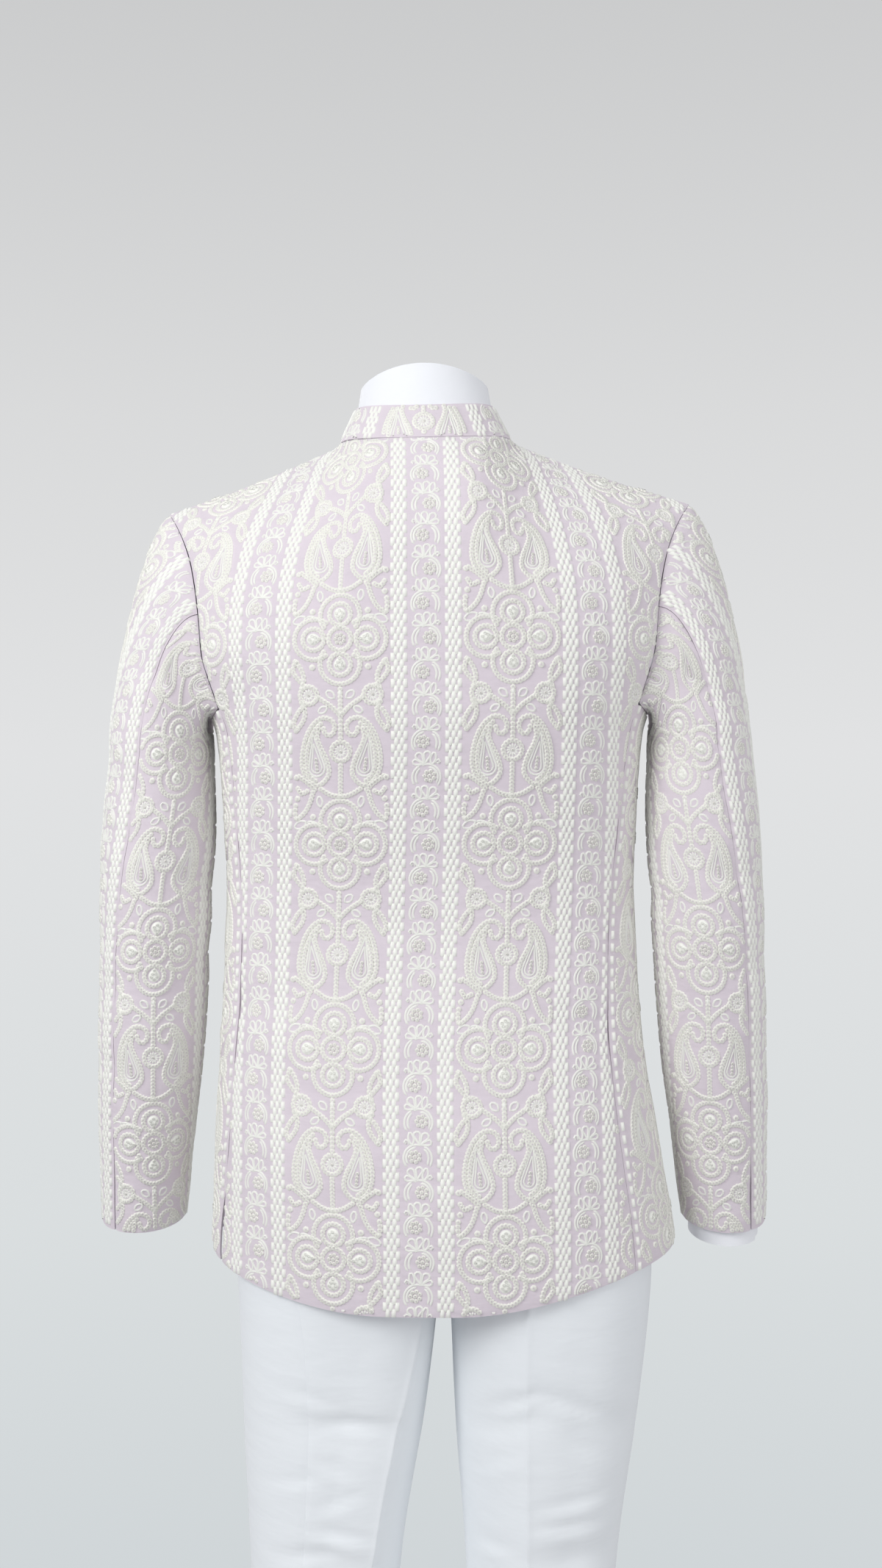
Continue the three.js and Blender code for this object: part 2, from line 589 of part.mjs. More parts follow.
const SIDE_COLUMNS = 5;
function sideGeometry(side) {
  const left = side === "left";
  return panel(steps(0, 1, SIDE_COLUMNS), [...LOWER_ROWS, UNDERARM], (u, row) => {
    const level = row === UNDERARM ? underarmLevel(u) - SEAM : row;
    const width = widthOf(SIDE_WIDTH, level);
    const share = mix((inSeam + ventGap(level, side)) / width, 1 - inSeam / width, u);
    const lift = lifted(BACK_FOLDS, widthOf(BACK_WIDTH, level) + share * width, level);
    const pair = [0, -JACKETING].map((depth) => sideSkin(share, level, lift + depth, left ? 1 : -1));
    return left ? pair : pair.map(mirrored);
  });
}

// The armhole's corners. Each is just past the edge of the body, at the outer or inner face:
// `lift(level, across)` is the height of that face over the cloth line.
const onBack = (level, lift) => {
  const across = widthOf(BACK_WIDTH, level) + SEAM;
  return backSkin(across, level, lift(level, across));
};
const onFront = (level, lift) => frontSkin(frontWidth(level) + SEAM, level, lift(level, 0));
const onSide = (share, lift) => {
  const inside = clamp(share, 0.005, 0.995);
  return sideSkin(inside, underarmLevel(share) + SEAM, lift(UNDERARM, 0));
};
function onShoulder(lift) {
  const edge = SHOULDER_WIDTH + SEAM;
  const up = [backSkin, frontSkin]
    .map((other) => other(edge, -2, 1).sub(other(edge, -2, 0)))
    .reduce((sum, n) => sum.add(n), new THREE.Vector3())
    .normalize();
  return bodyPoint(edge, 0, true, 1).addScaledVector(up, lift(0, edge));
}
const middleOf = (a, b) => a.clone().add(b).multiplyScalar(0.5);

// The upper sleeve's corners run over the shoulder from the hind seam to the fore seam, the under
// sleeve's from the fore seam under the arm to the hind seam.
function sleeveCorners(kind, lift) {
  if (kind === "upper") {
    const up = [-152, -112, -72, -34].map((level) => onBack(level, lift));
    const down = [-34, -72, -112, -152, -190].map((level) => onFront(level, lift));
    const corners = [...up, onShoulder(lift), ...down];
    const halved = new Set([0, 1, 6, 7]);
    return corners.flatMap((p, i) => (halved.has(i) ? [p, middleOf(p, corners[i + 1])] : [p]));
  }
  return [
    ...[-190, -214].map((level) => onFront(level, lift)),
    ...steps(1, 0, SIDE_COLUMNS).map((share) => onSide(share, lift)),
    ...[-214, -190, -152].map((level) => onBack(level, lift)),
  ];
}

// Each corner's share of the way along its row of corners.
function sharesOf(corners) {
  const along = [0];
  for (let i = 1; i < corners.length; i += 1) along.push(along[i - 1] + corners[i].distanceTo(corners[i - 1]));
  return along.map((d) => d / along[along.length - 1]);
}

const sleeveLevel = (along) => mix(SLEEVE_TOP, SLEEVE_HEM, (along - CAP) / (1 - CAP));
function sleeveRing(angle, level, inset) {
  const [x, y, w, d] = ["x", "y", "halfWidth", "halfDepth"].map((c) => read(SLEEVE, c, level));
  const [c, s] = [Math.cos(angle * DEGREE), Math.sin(angle * DEGREE)];
  const drop = CUFF_DROP * s * smooth(-level, 600, 712);
  return new THREE.Vector3(x - (w - inset) * c, y + (d - inset) * s, level - drop);
}

// A point of the sleeve below a corner of the armhole. `angle` is where its column stands on the
// level rings, in degrees round from the underarm.
function sleevePoint(corner, angle, along, inset = 0) {
  if (along >= CAP) return sleeveRing(angle, sleeveLevel(along), inset);
  const end = sleeveRing(angle, SLEEVE_TOP, inset);
  const reach = corner.distanceTo(end);
  const lean = Math.cos(angle * DEGREE); // 1 at the underarm, -1 over the shoulder
  const out = new THREE.Vector3(1, 0, lean > 0 ? 0.75 * lean : 0.28 * lean).normalize();
  const first = corner.clone().addScaledVector(out, mix(0.105, 0.36, (1 + lean) / 2) * reach);
  first.z += inset * 0.4 * lean;
  const curve = new THREE.CubicBezierCurve3(
    corner,
    first,
    end.clone().add(new THREE.Vector3(0, 0, 0.3 * reach)),
    end,
  );
  return curve.getPoint(along / CAP);
}

const SLEEVE_ROWS = [0, 0.04, 0.09, 0.15, 0.22, CAP, 0.36, 0.42, 0.48, 0.54, 0.62, 0.72, 0.82, 0.91, 1];
const armholeLift = (depth) => (level, across) => (across ? lifted(BACK_FOLDS, across, level) : 0) - depth;
function sleeveGrid(kind) {
  const corners = sleeveCorners(kind, armholeLift(0));
  const shares = sharesOf(corners);
  const angleAt = (along, c) => {
    const [hind, fore] = ["hind", "fore"].map((k) => read(SLEEVE_SEAMS, k, along, "along"));
    return kind === "upper" ? mix(hind, 360 + fore, shares[c]) : mix(fore, hind, shares[c]);
  };
  const grid = SLEEVE_ROWS.map((along) => corners.map((p, c) => sleevePoint(p, angleAt(along, c), along)));
  return { grid, angleAt };
}

function sleeveGeometry(side, kind) {
  const { grid: outer, angleAt } = sleeveGrid(kind);
  const { grid: other } = sleeveGrid(kind === "upper" ? "under" : "upper");
  const levelAt = (along) => (along < CAP ? mix(-70, SLEEVE_TOP, along / CAP) : sleeveLevel(along));
  const turns = (angle) => (angle > 270 ? angle - 360 : angle);
  return shell(outer, {
    cloth: JACKETING,
    centre: new THREE.Vector3(255, 3, outer[7][0].z),
    beside: (r, first) => (first ? other[r][other[r].length - 2] : other[r][1]),
    firstInner: sleeveCorners(kind, armholeLift(JACKETING)),
    turned: side === "right",
    lift: (r, c) => {
      const along = SLEEVE_ROWS[r];
      return lifted(SLEEVE_FOLDS[side], turns(angleAt(along, c)), levelAt(along), 0.9) * smooth(along, 0.02, 0.12);
    },
    pull: (r, first) => {
      const vent = first === (kind === "upper") ? SLEEVE_VENT.gap / 2 : 0;
      const level = levelAt(SLEEVE_ROWS[r]);
      return inSeam + vent * smooth(SLEEVE_HEM + SLEEVE_VENT.length - level, 0, SLEEVE_VENT.length);
    },
  });
}

const bandCentre = (p) => new THREE.Vector3(0, -12, p.z - 20);
const NECK_END_CLEAR = 0.6; // a band starts this much higher over the neck end of the shoulder seam
// A band round the neck from its left end round the back to its right end: `surface(turn, h)` is
// its face for a turn from centre back. The corners at its ends are rounded.
function neckBand(surface, { cloth, opening, corner, height, rows, from }) {
  const both = (turn, h) => {
    const p = surface(Math.abs(turn), h);
    return turn < 0 ? mirrored(p) : p;
  };
  const face = skin(both, bandCentre, [0.01, 0.01]);
  const radius = 72;
  const end = Math.PI - opening / radius;
  const rounding = [1, 0.45, 0.1].map((share) => end - (share * corner) / radius);
  const turns = [...steps(0, Math.PI, 10).filter((turn) => turn < rounding[0] - 0.03), ...rounding, end];
  return panel(bothSides(turns), rows, (turn, v) => {
    const gone = clamp(1 - ((end - Math.abs(turn)) * radius) / corner, 0, 1);
    const top = 1 - (corner * (1 - Math.sqrt(1 - gone ** 2))) / height;
    const h = mix((from + NECK_END_CLEAR * Math.sin(Math.abs(turn)) ** 6) / height, top, v);
    return [0, -cloth].map((depth) => face(turn, h, depth));
  });
}

// The neck seam as the straight stretches between the body's columns.
function seamPoint(turn) {
  const step = Math.PI / 2 / (NECK_TURNS.length - 1);
  const i = Math.min(Math.floor(turn / step + 1e-9), 2 * NECK_TURNS.length - 3);
  const ends = [i, i + 1].map((k) => neckPoint(NECK_SEAM, k * step));
  const span = ends[1].x - ends[0].x;
  const t = Math.abs(span) > 1e-6 ? (NECK_SEAM.halfWidth * Math.sin(turn) - ends[0].x) / span : 0;
  return ends[0].lerp(ends[1], clamp(t, 0, 1));
}

const collarFace = (turn, h) => seamPoint(turn).lerp(neckPoint(COLLAR_TOP, turn), h);
function collarGeometry() {
  return neckBand(collarFace, {
    cloth: COLLAR_CLOTH,
    opening: COLLAR_OPENING,
    corner: COLLAR_CORNER,
    height: 36,
    rows: steps(0, 1, 3),
    from: 0.5,
  });
}

function shirtCollarGeometry() {
  const inner = skin(collarFace, bandCentre, [0.01, 0.01]);
  const low = (turn, h) => inner(turn, h, -SHIRT_COLLAR.inset * (1.2 - 0.2 * h));
  const rim = 0.46; // the share of the band that lies inside the jacket's collar
  const surface = (turn, h) =>
    h < rim
      ? low(turn, mix(0.04, 1, h / rim))
      : low(turn, 1).lerp(neckPoint(SHIRT_COLLAR_TOP, turn), (h - rim) / (1 - rim));
  return neckBand(surface, {
    cloth: SHIRT_COLLAR.cloth,
    opening: SHIRT_COLLAR.opening,
    corner: SHIRT_COLLAR.corner,
    height: 76,
    rows: [0, rim, 0.75, 1],
    from: 0.3,
  });
}

// A button: a shallow dome on a flat back, set on the left front clear of the cloth's curve.
function buttonGeometry() {
  const { radius, depth } = BUTTON;
  const profile = [
    [0, 0],
    [radius, 0],
    [radius, depth * 0.5],
    [radius * 0.7, depth * 0.88],
    [0, depth],
  ].map(([x, y]) => new THREE.Vector2(x, y));
  return new THREE.LatheGeometry(profile, 12);
}

function addButtons() {
  BUTTON.levels.forEach((level, i) => {
    const cloth = (across, z) => frontSkin(across, z, LAP_LIFT);
    const foot = cloth(0.01, level);
    const out = frontSkin(0.01, level, LAP_LIFT + 1).sub(foot).normalize();
    const r = BUTTON.radius;
    const rim = [[0.01, level - r], [0.01, level + r], [-r, level], [r, level], [0.01, level - 20], [0.01, level + 20]];
    const proud = Math.max(0, ...rim.map(([x, z]) => cloth(x, z).sub(foot).dot(out)));
    const mesh = new THREE.Mesh(buttonGeometry(), materials.button);
    mesh.name = `button_${i + 1}`;
    mesh.position.copy(foot.addScaledVector(out, BUTTON.clear + proud));
    mesh.quaternion.setFromUnitVectors(new THREE.Vector3(0, 1, 0), out);
    outfit.add(mesh);
  });
}

// The shirt. Its side seams run down the middle of the jacket's side panels.
const SHIRT_UNDERARM = { middle: -234, corner: -226 }; // higher than the jacket's
const SHIRT_UPPER = [SHIRT_UNDERARM.corner, ...UPPER_ROWS.slice(1)];
const SHIRT_ROWS = [SHIRT_HEM, -520, -455, -390, -340, -295, -262, SHIRT_UNDERARM.middle, ...SHIRT_UPPER];
const SHIRT_NECK_TRIM = 1.3;
const shirtLift = (level) => -read(SHIRT_INSET, "inset", level);
const halfSide = (level) => (level < SHIRT_UNDERARM.corner - 0.01 ? widthOf(SIDE_WIDTH, level) / 2 : 0);
const shirtFrontWidth = (level) =>
  level < SHIRT_UNDERARM.corner - 0.01
    ? halfGirth(level) - widthOf(BACK_WIDTH, level) - halfSide(level)
    : widthOf(FRONT_ARMHOLE, level);

function shirtBackGeometry() {
  return panel(bothSides(BACK_COLUMNS), SHIRT_ROWS, (u, level) => {
    const across = u * (widthOf(BACK_WIDTH, level) + halfSide(level) - inSeam);
    const options = { behind: true, neckTrim: SHIRT_NECK_TRIM };
    return bodyPair(across, level, shirtLift(level), SHIRTING, options);
  });
}

function shirtFrontGeometry(side) {
  const left = side === "left";
  return panel(SHOULDER_COLUMNS, SHIRT_ROWS, (x, level) => {
    const across = Math.max(inSeam, frontColumn(x, shirtFrontWidth(level) - inSeam));
    const options = { behind: false, hand: left ? 1 : -1, neckTrim: SHIRT_NECK_TRIM };
    const pair = bodyPair(across, level, shirtLift(level), SHIRTING, options);
    return left ? pair : pair.map(mirrored);
  });
}

const CUFF_INSET = 6;
const cuffTop = (side) => SLEEVE_HEM - CUFF_SHOWS[side] + SHIRT_CUFF.height;
function shirtSleeveGeometry(side) {
  const cornersAt = (depth) => {
    const lift = (level) => shirtLift(level) - depth;
    const middle = SHIRT_UNDERARM.middle;
    const under = () => sideSkin(0.5, middle + SEAM, lift(middle));
    const rows = SHIRT_UPPER.slice(0, -1);
    return [
      under(),
      ...rows.map((level) => onBack(level, lift)),
      onShoulder(lift),
      ...[...rows].reverse().map((level) => onFront(level, lift)),
      under(),
    ];
  };
  const corners = cornersAt(0);
  const shares = sharesOf(corners);
  const last = CAP + ((SLEEVE_TOP - cuffTop(side) - SEAM) / (SLEEVE_TOP - SLEEVE_HEM)) * (1 - CAP);
  const rows = [0, 0.05, 0.12, 0.2, CAP, ...steps(CAP, last, 4).slice(1)];
  const outer = rows.map((along) => {
    const inset = mix(SHIRT_SLEEVE_INSET, CUFF_INSET, smooth(along, 0.75, last));
    return corners.map((p, c) => sleevePoint(p, 360 * shares[c], along, inset));
  });
  return shell(outer, {
    cloth: SHIRTING,
    centre: new THREE.Vector3(255, 3, outer[4][0].z),
    firstInner: cornersAt(SHIRTING),
    turned: side === "right",
  });
}

// The cuff runs once round the wrist and a little more, its outer end lapping its inner end.
function shirtCuffGeometry(side) {
  const { height, cloth, tuck, overlap, end } = SHIRT_CUFF;
  const top = cuffTop(side);
  return panel(steps(0, 1, 18), [0, 1], (u, v) => {
    const angle = end + u * (360 + overlap);
    const inset = CUFF_INSET + tuck * (1 - smooth(u, 0.05, 0.16));
    const level = top - v * height;
    const pair = [inset, inset + cloth].map((depth) => sleeveRing(angle, level, depth));
    return side === "left" ? pair : pair.map(mirrored);
  });
}

// The trousers. Half of an outline at a level, from the inside leg to the side, by the back or by
// the front, with the distance along it.
const outlines = new Map();
function outlineOf(kind, level, behind) {
  const key = `${kind} ${level.toFixed(2)} ${behind}`;
  if (outlines.has(key)) return outlines.get(key);
  const points = kind === "leg" ? legOutline(level, behind) : seatOutline(level, behind);
  const along = [0];
  for (let i = 1; i < points.length; i += 1) {
    along.push(along[i - 1] + Math.hypot(points[i][0] - points[i - 1][0], points[i][1] - points[i - 1][1]));
  }
  outlines.set(key, { points, along });
  return outlines.get(key);
}

function legOutline(level, behind) {
  const row = (column) => read(LEG, column, Math.min(level, CROTCH));
  const [inner, outer, reach] = [row("inner"), row("outer"), row(behind ? "back" : "front") - LEG_MIDDLE];
  return steps(0, Math.PI, 60).map((turn) => {
    const [c, s] = [Math.cos(turn), Math.sin(turn)];
    const power = 2 / (c > 0 ? row("innerSquare") : OUTER_SQUARE);
    const x = (inner + outer) / 2 - Math.sign(c) * ((outer - inner) / 2) * Math.abs(c) ** power;
    return [x, LEG_MIDDLE + reach * Math.abs(s) ** power];
  });
}

function hipReach(level, behind) {
  const inset = read(HIPS, "inset", level);
  const [halfWidth, depth] = ["halfWidth", behind ? "back" : "front"].map((c) => read(BODY, c, level));
  return [halfWidth - inset, depth + (behind ? -inset : inset)];
}

function seatOutline(level, behind) {
  const [halfWidth, depth] = hipReach(level, behind);
  const power = 2 / read(BODY, behind ? "backSquare" : "frontSquare", level);
  const straight = steps(CROTCH_DEPTH, depth, 16).map((y) => [0, y]);
  const ring = steps(0, Math.PI / 2, 50).map((turn) => [
    halfWidth * Math.sin(turn) ** power,
    BODY_MIDDLE + (depth - BODY_MIDDLE) * Math.cos(turn) ** power,
  ]);
  return [...straight, ...ring.slice(1)];
}

function onOutline({ points, along }, share) {
  const where = clamp(share, 0, 1) * along[along.length - 1];
  let i = 0;
  while (i < along.length - 2 && along[i + 1] < where) i += 1;
  const t = (where - along[i]) / (along[i + 1] - along[i]);
  return [mix(points[i][0], points[i + 1][0], t), mix(points[i][1], points[i + 1][1], t)];
}

// Where the seat seam cuts the outline at a level, as a share from the inside leg.
function seatStart(level, behind) {
  if (level <= CROTCH) return 0;
  const { along } = outlineOf("seat", level, behind);
  const down = clamp((SEAT - level) / (SEAT - CROTCH), 0, 1);
  return (Math.sqrt(1 - down ** 2) * along[16]) / along[along.length - 1];
}

function legPoint(place, level) {
  const turn = ((place % 2) + 2) % 2;
  const behind = turn <= 1;
  const share = behind ? turn : 2 - turn;
  const drop = TROUSER_HEM_BACK_DROP * (behind ? 1 : -1) * Math.sin(Math.PI * share) * smooth(-level, 1300, 1500);
  const leg = onOutline(outlineOf("leg", level, behind), share);
  if (level <= CROTCH) return new THREE.Vector3(leg[0], leg[1], level - drop);
  const seat = onOutline(outlineOf("seat", level, behind), share);
  const down = clamp((SEAT - level) / (SEAT - CROTCH), 0, 1);
  const weight = smooth(down, 0.3, 1);
  const start = seatStart(level, behind);
  const stray = weight * onOutline(outlineOf("leg", level, behind), start)[0];
  const x = mix(seat[0], leg[0], weight) - stray * (1 - smooth(share, start, start + 0.3));
  return new THREE.Vector3(x, mix(seat[1], leg[1], weight), level);
}

const TROUSER_ROWS = [
  WAISTBAND.top - WAISTBAND.height - SEAM,
  ...[-530, -575, SEAT, -640, -672, -697, CROTCH, -745, -790, -835, -860, -885, -912, -950, -982, -1004],
  ...[-1036, -1090, -1200, -1340, -1430, TROUSER_HEM],
];
// Columns from the inside edge to the crease, and from the crease to the side seam.
const LEG_COLUMNS = { left: { back: [4, 3], front: [5, 6] }, right: { back: [4, 4], front: [4, 4] } };
const lineAt = (side, column, level) => read(LEG_LINES[side], column, level);

// Where a column of a leg panel runs at a level, round the leg.
function placeAt(side, behind, level, c) {
  const [before, after] = LEG_COLUMNS[side][behind ? "back" : "front"];
  const start = seatStart(level, behind);
  const seam = lineAt(side, "inseam", level);
  const from = level > CROTCH ? start : behind ? seam : -seam;
  const inside = behind ? from : 2 - from;
  const crease = lineAt(side, behind ? "backCrease" : "frontCrease", level);
  const outside = lineAt(side, "side", level);
  return c <= before ? mix(inside, crease, c / before) : mix(crease, outside, (c - before) / after);
}

function legGrid(side, behind) {
  const count = LEG_COLUMNS[side][behind ? "back" : "front"].reduce((a, b) => a + b);
  return TROUSER_ROWS.map((level) =>
    steps(0, count, count).map((c) => legPoint(placeAt(side, behind, level, c), level)),
  );
}

function trouserGeometry(side, behind) {
  const outer = legGrid(side, behind);
  const other = legGrid(side, !behind);
  return shell(outer, {
    cloth: SUITING,
    centre: new THREE.Vector3(97, LEG_MIDDLE, outer[11][0].z),
    beside: (r, first) => {
      if (!first) return other[r][other[r].length - 2];
      return TROUSER_ROWS[r] > CROTCH ? mirrored(outer[r][1]) : other[r][1];
    },
    turned: side === "right",
    lift: (r, c) => {
      const level = TROUSER_ROWS[r];
      const place = placeAt(side, behind, level, c);
      const crease = lineAt(side, behind ? "backCrease" : "frontCrease", level);
      const height = read(LEG, "crease", Math.min(level, CROTCH));
      const press = height * Math.max(0, 1 - Math.abs(place - crease) / CREASE_REACH);
      return press + lifted(LEG_FOLDS[side], place * 100, level, 2.7);
    },
  });
}

// The waistband runs from the left of centre front, round the back, to the right of centre front.
function waistbandGeometry() {
  const bottom = WAISTBAND.top - WAISTBAND.height;
  const place = (turn, level) => {
    const behind = Math.abs(turn) < 1;
    const share = behind ? Math.abs(turn) : 2 - Math.abs(turn);
    const start = seatStart(level, behind);
    const [x, y] = onOutline(outlineOf("seat", level, behind), mix(start, 1, share));
    return new THREE.Vector3(turn < 0 ? -x : x, y, level);
  };
  const outer = [WAISTBAND.top, bottom].map((level) => steps(-2, 2, 40).map((turn) => place(turn, level)));
  return shell(outer, { cloth: WAISTBAND.cloth, centre: new THREE.Vector3(0, 0, bottom) });
}

add("jacket_back", backGeometry(), materials.jacket);
for (const side of ["left", "right"]) {
  add(`jacket_front_${side}`, frontGeometry(side), materials.jacket);
  add(`jacket_side_${side}`, sideGeometry(side), materials.jacket);
  add(`sleeve_upper_${side}`, sleeveGeometry(side, "upper"), materials.jacket);
  add(`sleeve_under_${side}`, sleeveGeometry(side, "under"), materials.jacket);
}
add("jacket_collar", collarGeometry(), materials.jacket);
addButtons();

add("shirt_back", shirtBackGeometry(), materials.shirt);
add("shirt_collar", shirtCollarGeometry(), materials.shirt);
for (const side of ["left", "right"]) {
  add(`shirt_front_${side}`, shirtFrontGeometry(side), materials.shirt);
  add(`shirt_sleeve_${side}`, shirtSleeveGeometry(side), materials.shirt);
  add(`shirt_cuff_${side}`, shirtCuffGeometry(side), materials.shirt);
}

add("trouser_waistband", waistbandGeometry(), materials.trousers);
for (const side of ["left", "right"]) {
  add(`trouser_back_${side}`, trouserGeometry(side, true), materials.trousers);
  add(`trouser_front_${side}`, trouserGeometry(side, false), materials.trousers);
}

export default outfit;
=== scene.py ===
"""Dresses the indo-western outfit: its cloth, needlework, seams, buttons, light and camera.

Garment sizes are in millimetres, as a tailor gives them, and meshes are written in metres.
"Across" and "up" are places in the flat cloth, "level" is a height on the worn form.
"""

from __future__ import annotations

import logging
import math
from dataclasses import dataclass, field, replace
from enum import Enum
from typing import Iterable, Sequence

import bpy
import numpy as np
from bpy.types import Material, Node, NodeSocket, NodeTree, Object
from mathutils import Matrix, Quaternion, Vector

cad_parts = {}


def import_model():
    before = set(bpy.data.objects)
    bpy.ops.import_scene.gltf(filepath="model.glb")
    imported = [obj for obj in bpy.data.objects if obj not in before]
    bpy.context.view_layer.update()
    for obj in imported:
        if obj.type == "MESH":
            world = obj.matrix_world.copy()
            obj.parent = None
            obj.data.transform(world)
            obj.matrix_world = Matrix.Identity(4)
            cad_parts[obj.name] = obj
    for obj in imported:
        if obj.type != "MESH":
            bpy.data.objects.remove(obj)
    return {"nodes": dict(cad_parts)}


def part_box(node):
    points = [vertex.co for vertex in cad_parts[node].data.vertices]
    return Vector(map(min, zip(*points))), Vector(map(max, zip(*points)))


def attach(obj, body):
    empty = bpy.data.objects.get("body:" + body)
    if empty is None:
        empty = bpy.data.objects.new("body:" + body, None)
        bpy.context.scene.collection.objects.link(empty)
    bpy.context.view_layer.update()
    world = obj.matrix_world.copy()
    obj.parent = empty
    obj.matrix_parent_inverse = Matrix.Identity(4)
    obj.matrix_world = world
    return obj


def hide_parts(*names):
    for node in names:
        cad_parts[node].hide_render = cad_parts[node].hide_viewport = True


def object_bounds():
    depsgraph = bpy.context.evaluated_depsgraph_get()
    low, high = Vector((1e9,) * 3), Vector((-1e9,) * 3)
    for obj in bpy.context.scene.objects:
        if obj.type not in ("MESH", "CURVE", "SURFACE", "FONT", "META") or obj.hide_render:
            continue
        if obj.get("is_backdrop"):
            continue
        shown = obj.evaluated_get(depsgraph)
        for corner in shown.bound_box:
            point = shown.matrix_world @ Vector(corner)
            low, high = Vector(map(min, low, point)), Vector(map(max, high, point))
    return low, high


Array = np.ndarray
Triple = tuple[float, float, float]
LOG = logging.getLogger("outfit")
MM = 0.001
SEAM = 0.3
IN_SEAM = SEAM / 2
# Name of the needlework's per-point layer of painted shade: near 1 in link holes and at stitch edges sunk
# into the cloth, 0 on stitch tops.
SHADE_LAYER = "depth"


class Side(Enum):
    """The wearer's side that a piece is on."""

    LEFT = "left"
    RIGHT = "right"

    @property
    def hand(self) -> int:
        """Returns 1 on the left and -1 on the right."""
        return 1 if self is Side.LEFT else -1

    @property
    def flip(self) -> Array:
        """Returns what turns points made on the left over to this side."""
        return np.array([self.hand, 1, 1])


class Thread(Enum):
    """The threads of the needlework, as material places on its mesh."""

    CHAIN = 0
    CORD = 1


def smooth(value: Array | float, low: float, high: float) -> Array:
    """Returns 0 below low, 1 above high, and a soft step between."""
    share = np.clip((np.asarray(value, float) - low) / (high - low), 0, 1)
    return share * share * (3 - 2 * share)


def mix(start: Array | float, end: Array | float, share: Array | float) -> Array:
    """Returns the value a share of the way from start to end."""
    return start + (end - start) * share


def read_along(at: Array, gone: Array, points: Array) -> Array:
    """Returns a path's points at lengths along it, given the length gone at each of its points."""
    return np.stack([np.interp(at, gone, column) for column in points.T], -1)


@dataclass(frozen=True)
class Table:
    """Rows of sizes, read along smooth curves through them by the first column."""

    names: tuple[str, ...]
    rows: tuple[tuple[float, ...], ...]

    @classmethod
    def of(cls, names: str, *rows: tuple[float, ...]) -> Table:
        """Returns a table from its columns' names, with spaces between, and its rows."""
        return cls(tuple(names.split()), rows)

    def at(self, key: float) -> float:
        """Returns the second column's size at one value of the first."""
        return float(self.read(self.names[1], key))

    def read(self, name: str, at: Array | float) -> Array:
        """Reads one column.

        Args:
            name: the column.
            at: values of the first column.

        Returns:
            The column's sizes there.
        """
        data = np.array(sorted(self.rows), float)
        keys, values = data[:, 0], data[:, self.names.index(name)]
        slopes = np.gradient(values)
        slopes[0] = (values[1] - values[0]) / (keys[1] - keys[0])
        slopes[-1] = (values[-1] - values[-2]) / (keys[-1] - keys[-2])
        slopes[1:-1] = (values[2:] - values[:-2]) / (keys[2:] - keys[:-2])
        where = np.clip(at, keys[0], keys[-1])
        i = np.clip(np.searchsorted(keys, where, side="right") - 1, 0, len(keys) - 2)
        span = keys[i + 1] - keys[i]
        t = (where - keys[i]) / span
        ends = values[i] * (1 + 2 * t) * (1 - t) ** 2 + values[i + 1] * t**2 * (3 - 2 * t)
        return ends + span * (slopes[i] * t * (1 - t) ** 2 + slopes[i + 1] * t**2 * (t - 1))


@dataclass(frozen=True)
class Fold:
    """A soft crease: where its middle is in the flat cloth, its size, depth and tilt in degrees."""

    across: float
    up: float
    length: float
    width: float
    depth: float
    tilt: float = 0.0

    def lift(self, across: Array, up: Array) -> Array:
        """Returns how far the cloth stands out at flat places (negative is a trough)."""
        dx, dy = across - self.across, up - self.up
        c, s = math.cos(math.radians(self.tilt)), math.sin(math.radians(self.tilt))
        along = (dx * c + dy * s) / self.length
        aside = (dy * c - dx * s) / self.width
        fade = np.where(np.abs(along) < 1, (1 - np.minimum(along**2, 1)) ** 2, 0)
        return self.depth * fade * np.exp(-(aside**2))


def creased(folds: Iterable[Fold], across: Array, up: Array) -> Array:
    """Returns what all the folds together lift at flat places."""
    return sum((fold.lift(across, up) for fold in folds), np.zeros_like(across))


def fold_rows(*rows: tuple[float, ...]) -> tuple[Fold, ...]:
    """Returns folds from rows of their across, up, length, width, depth and tilt."""
    return tuple(Fold(*row) for row in rows)


def wrinkles(*rows: tuple[float, ...]) -> tuple[Fold, ...]:
    """Returns sharp wrinkles from rows of their across, up, length, depth and tilt."""
    width, step = 6, 10
    folds = []
    for across, up, length, depth, tilt in rows:
        folds.append(Fold(across, up, length, width, -depth, tilt))
        folds.append(Fold(across, up - step, 0.9 * length, width + 0.5, 0.8 * depth, tilt))
    return tuple(folds)


def bezier(points: Sequence[Array], share: float | Array) -> Array:
    """Returns a cubic curve's points for four rows of control points."""
    a, b, c, d = points
    t = np.asarray(share)
    return a * (1 - t) ** 3 + b * 3 * t * (1 - t) ** 2 + c * 3 * t**2 * (1 - t) + d * t**3


def lengths(points: Array, axis: int = 0) -> Array:
    """Returns the running length along one axis of a grid of points, from 0."""
    stretch = np.linalg.norm(np.diff(points, axis=axis), axis=-1)
    total = np.cumsum(stretch, axis=axis)
    start = np.zeros_like(np.take(total, [0], axis=axis))
    return np.concatenate([start, total], axis=axis)


def edged(count: int, width: float, edges: tuple[float, ...] = (0, 1.4, 3.2, 6.5)) -> Array:
    """Returns shares from 0 to 1, closer together near both ends so that a seam's edge can roll.

    Args:
        count: steps between the close ones.
        width: the real width that the shares divide.
        edges: distances of the close places from each end.

    Returns:
        The shares in order.
    """
    close = np.array(edges) / width
    return np.concatenate([close[:-1], np.linspace(close[-1], 1 - close[-1], count), 1 - close[:-1][::-1]])


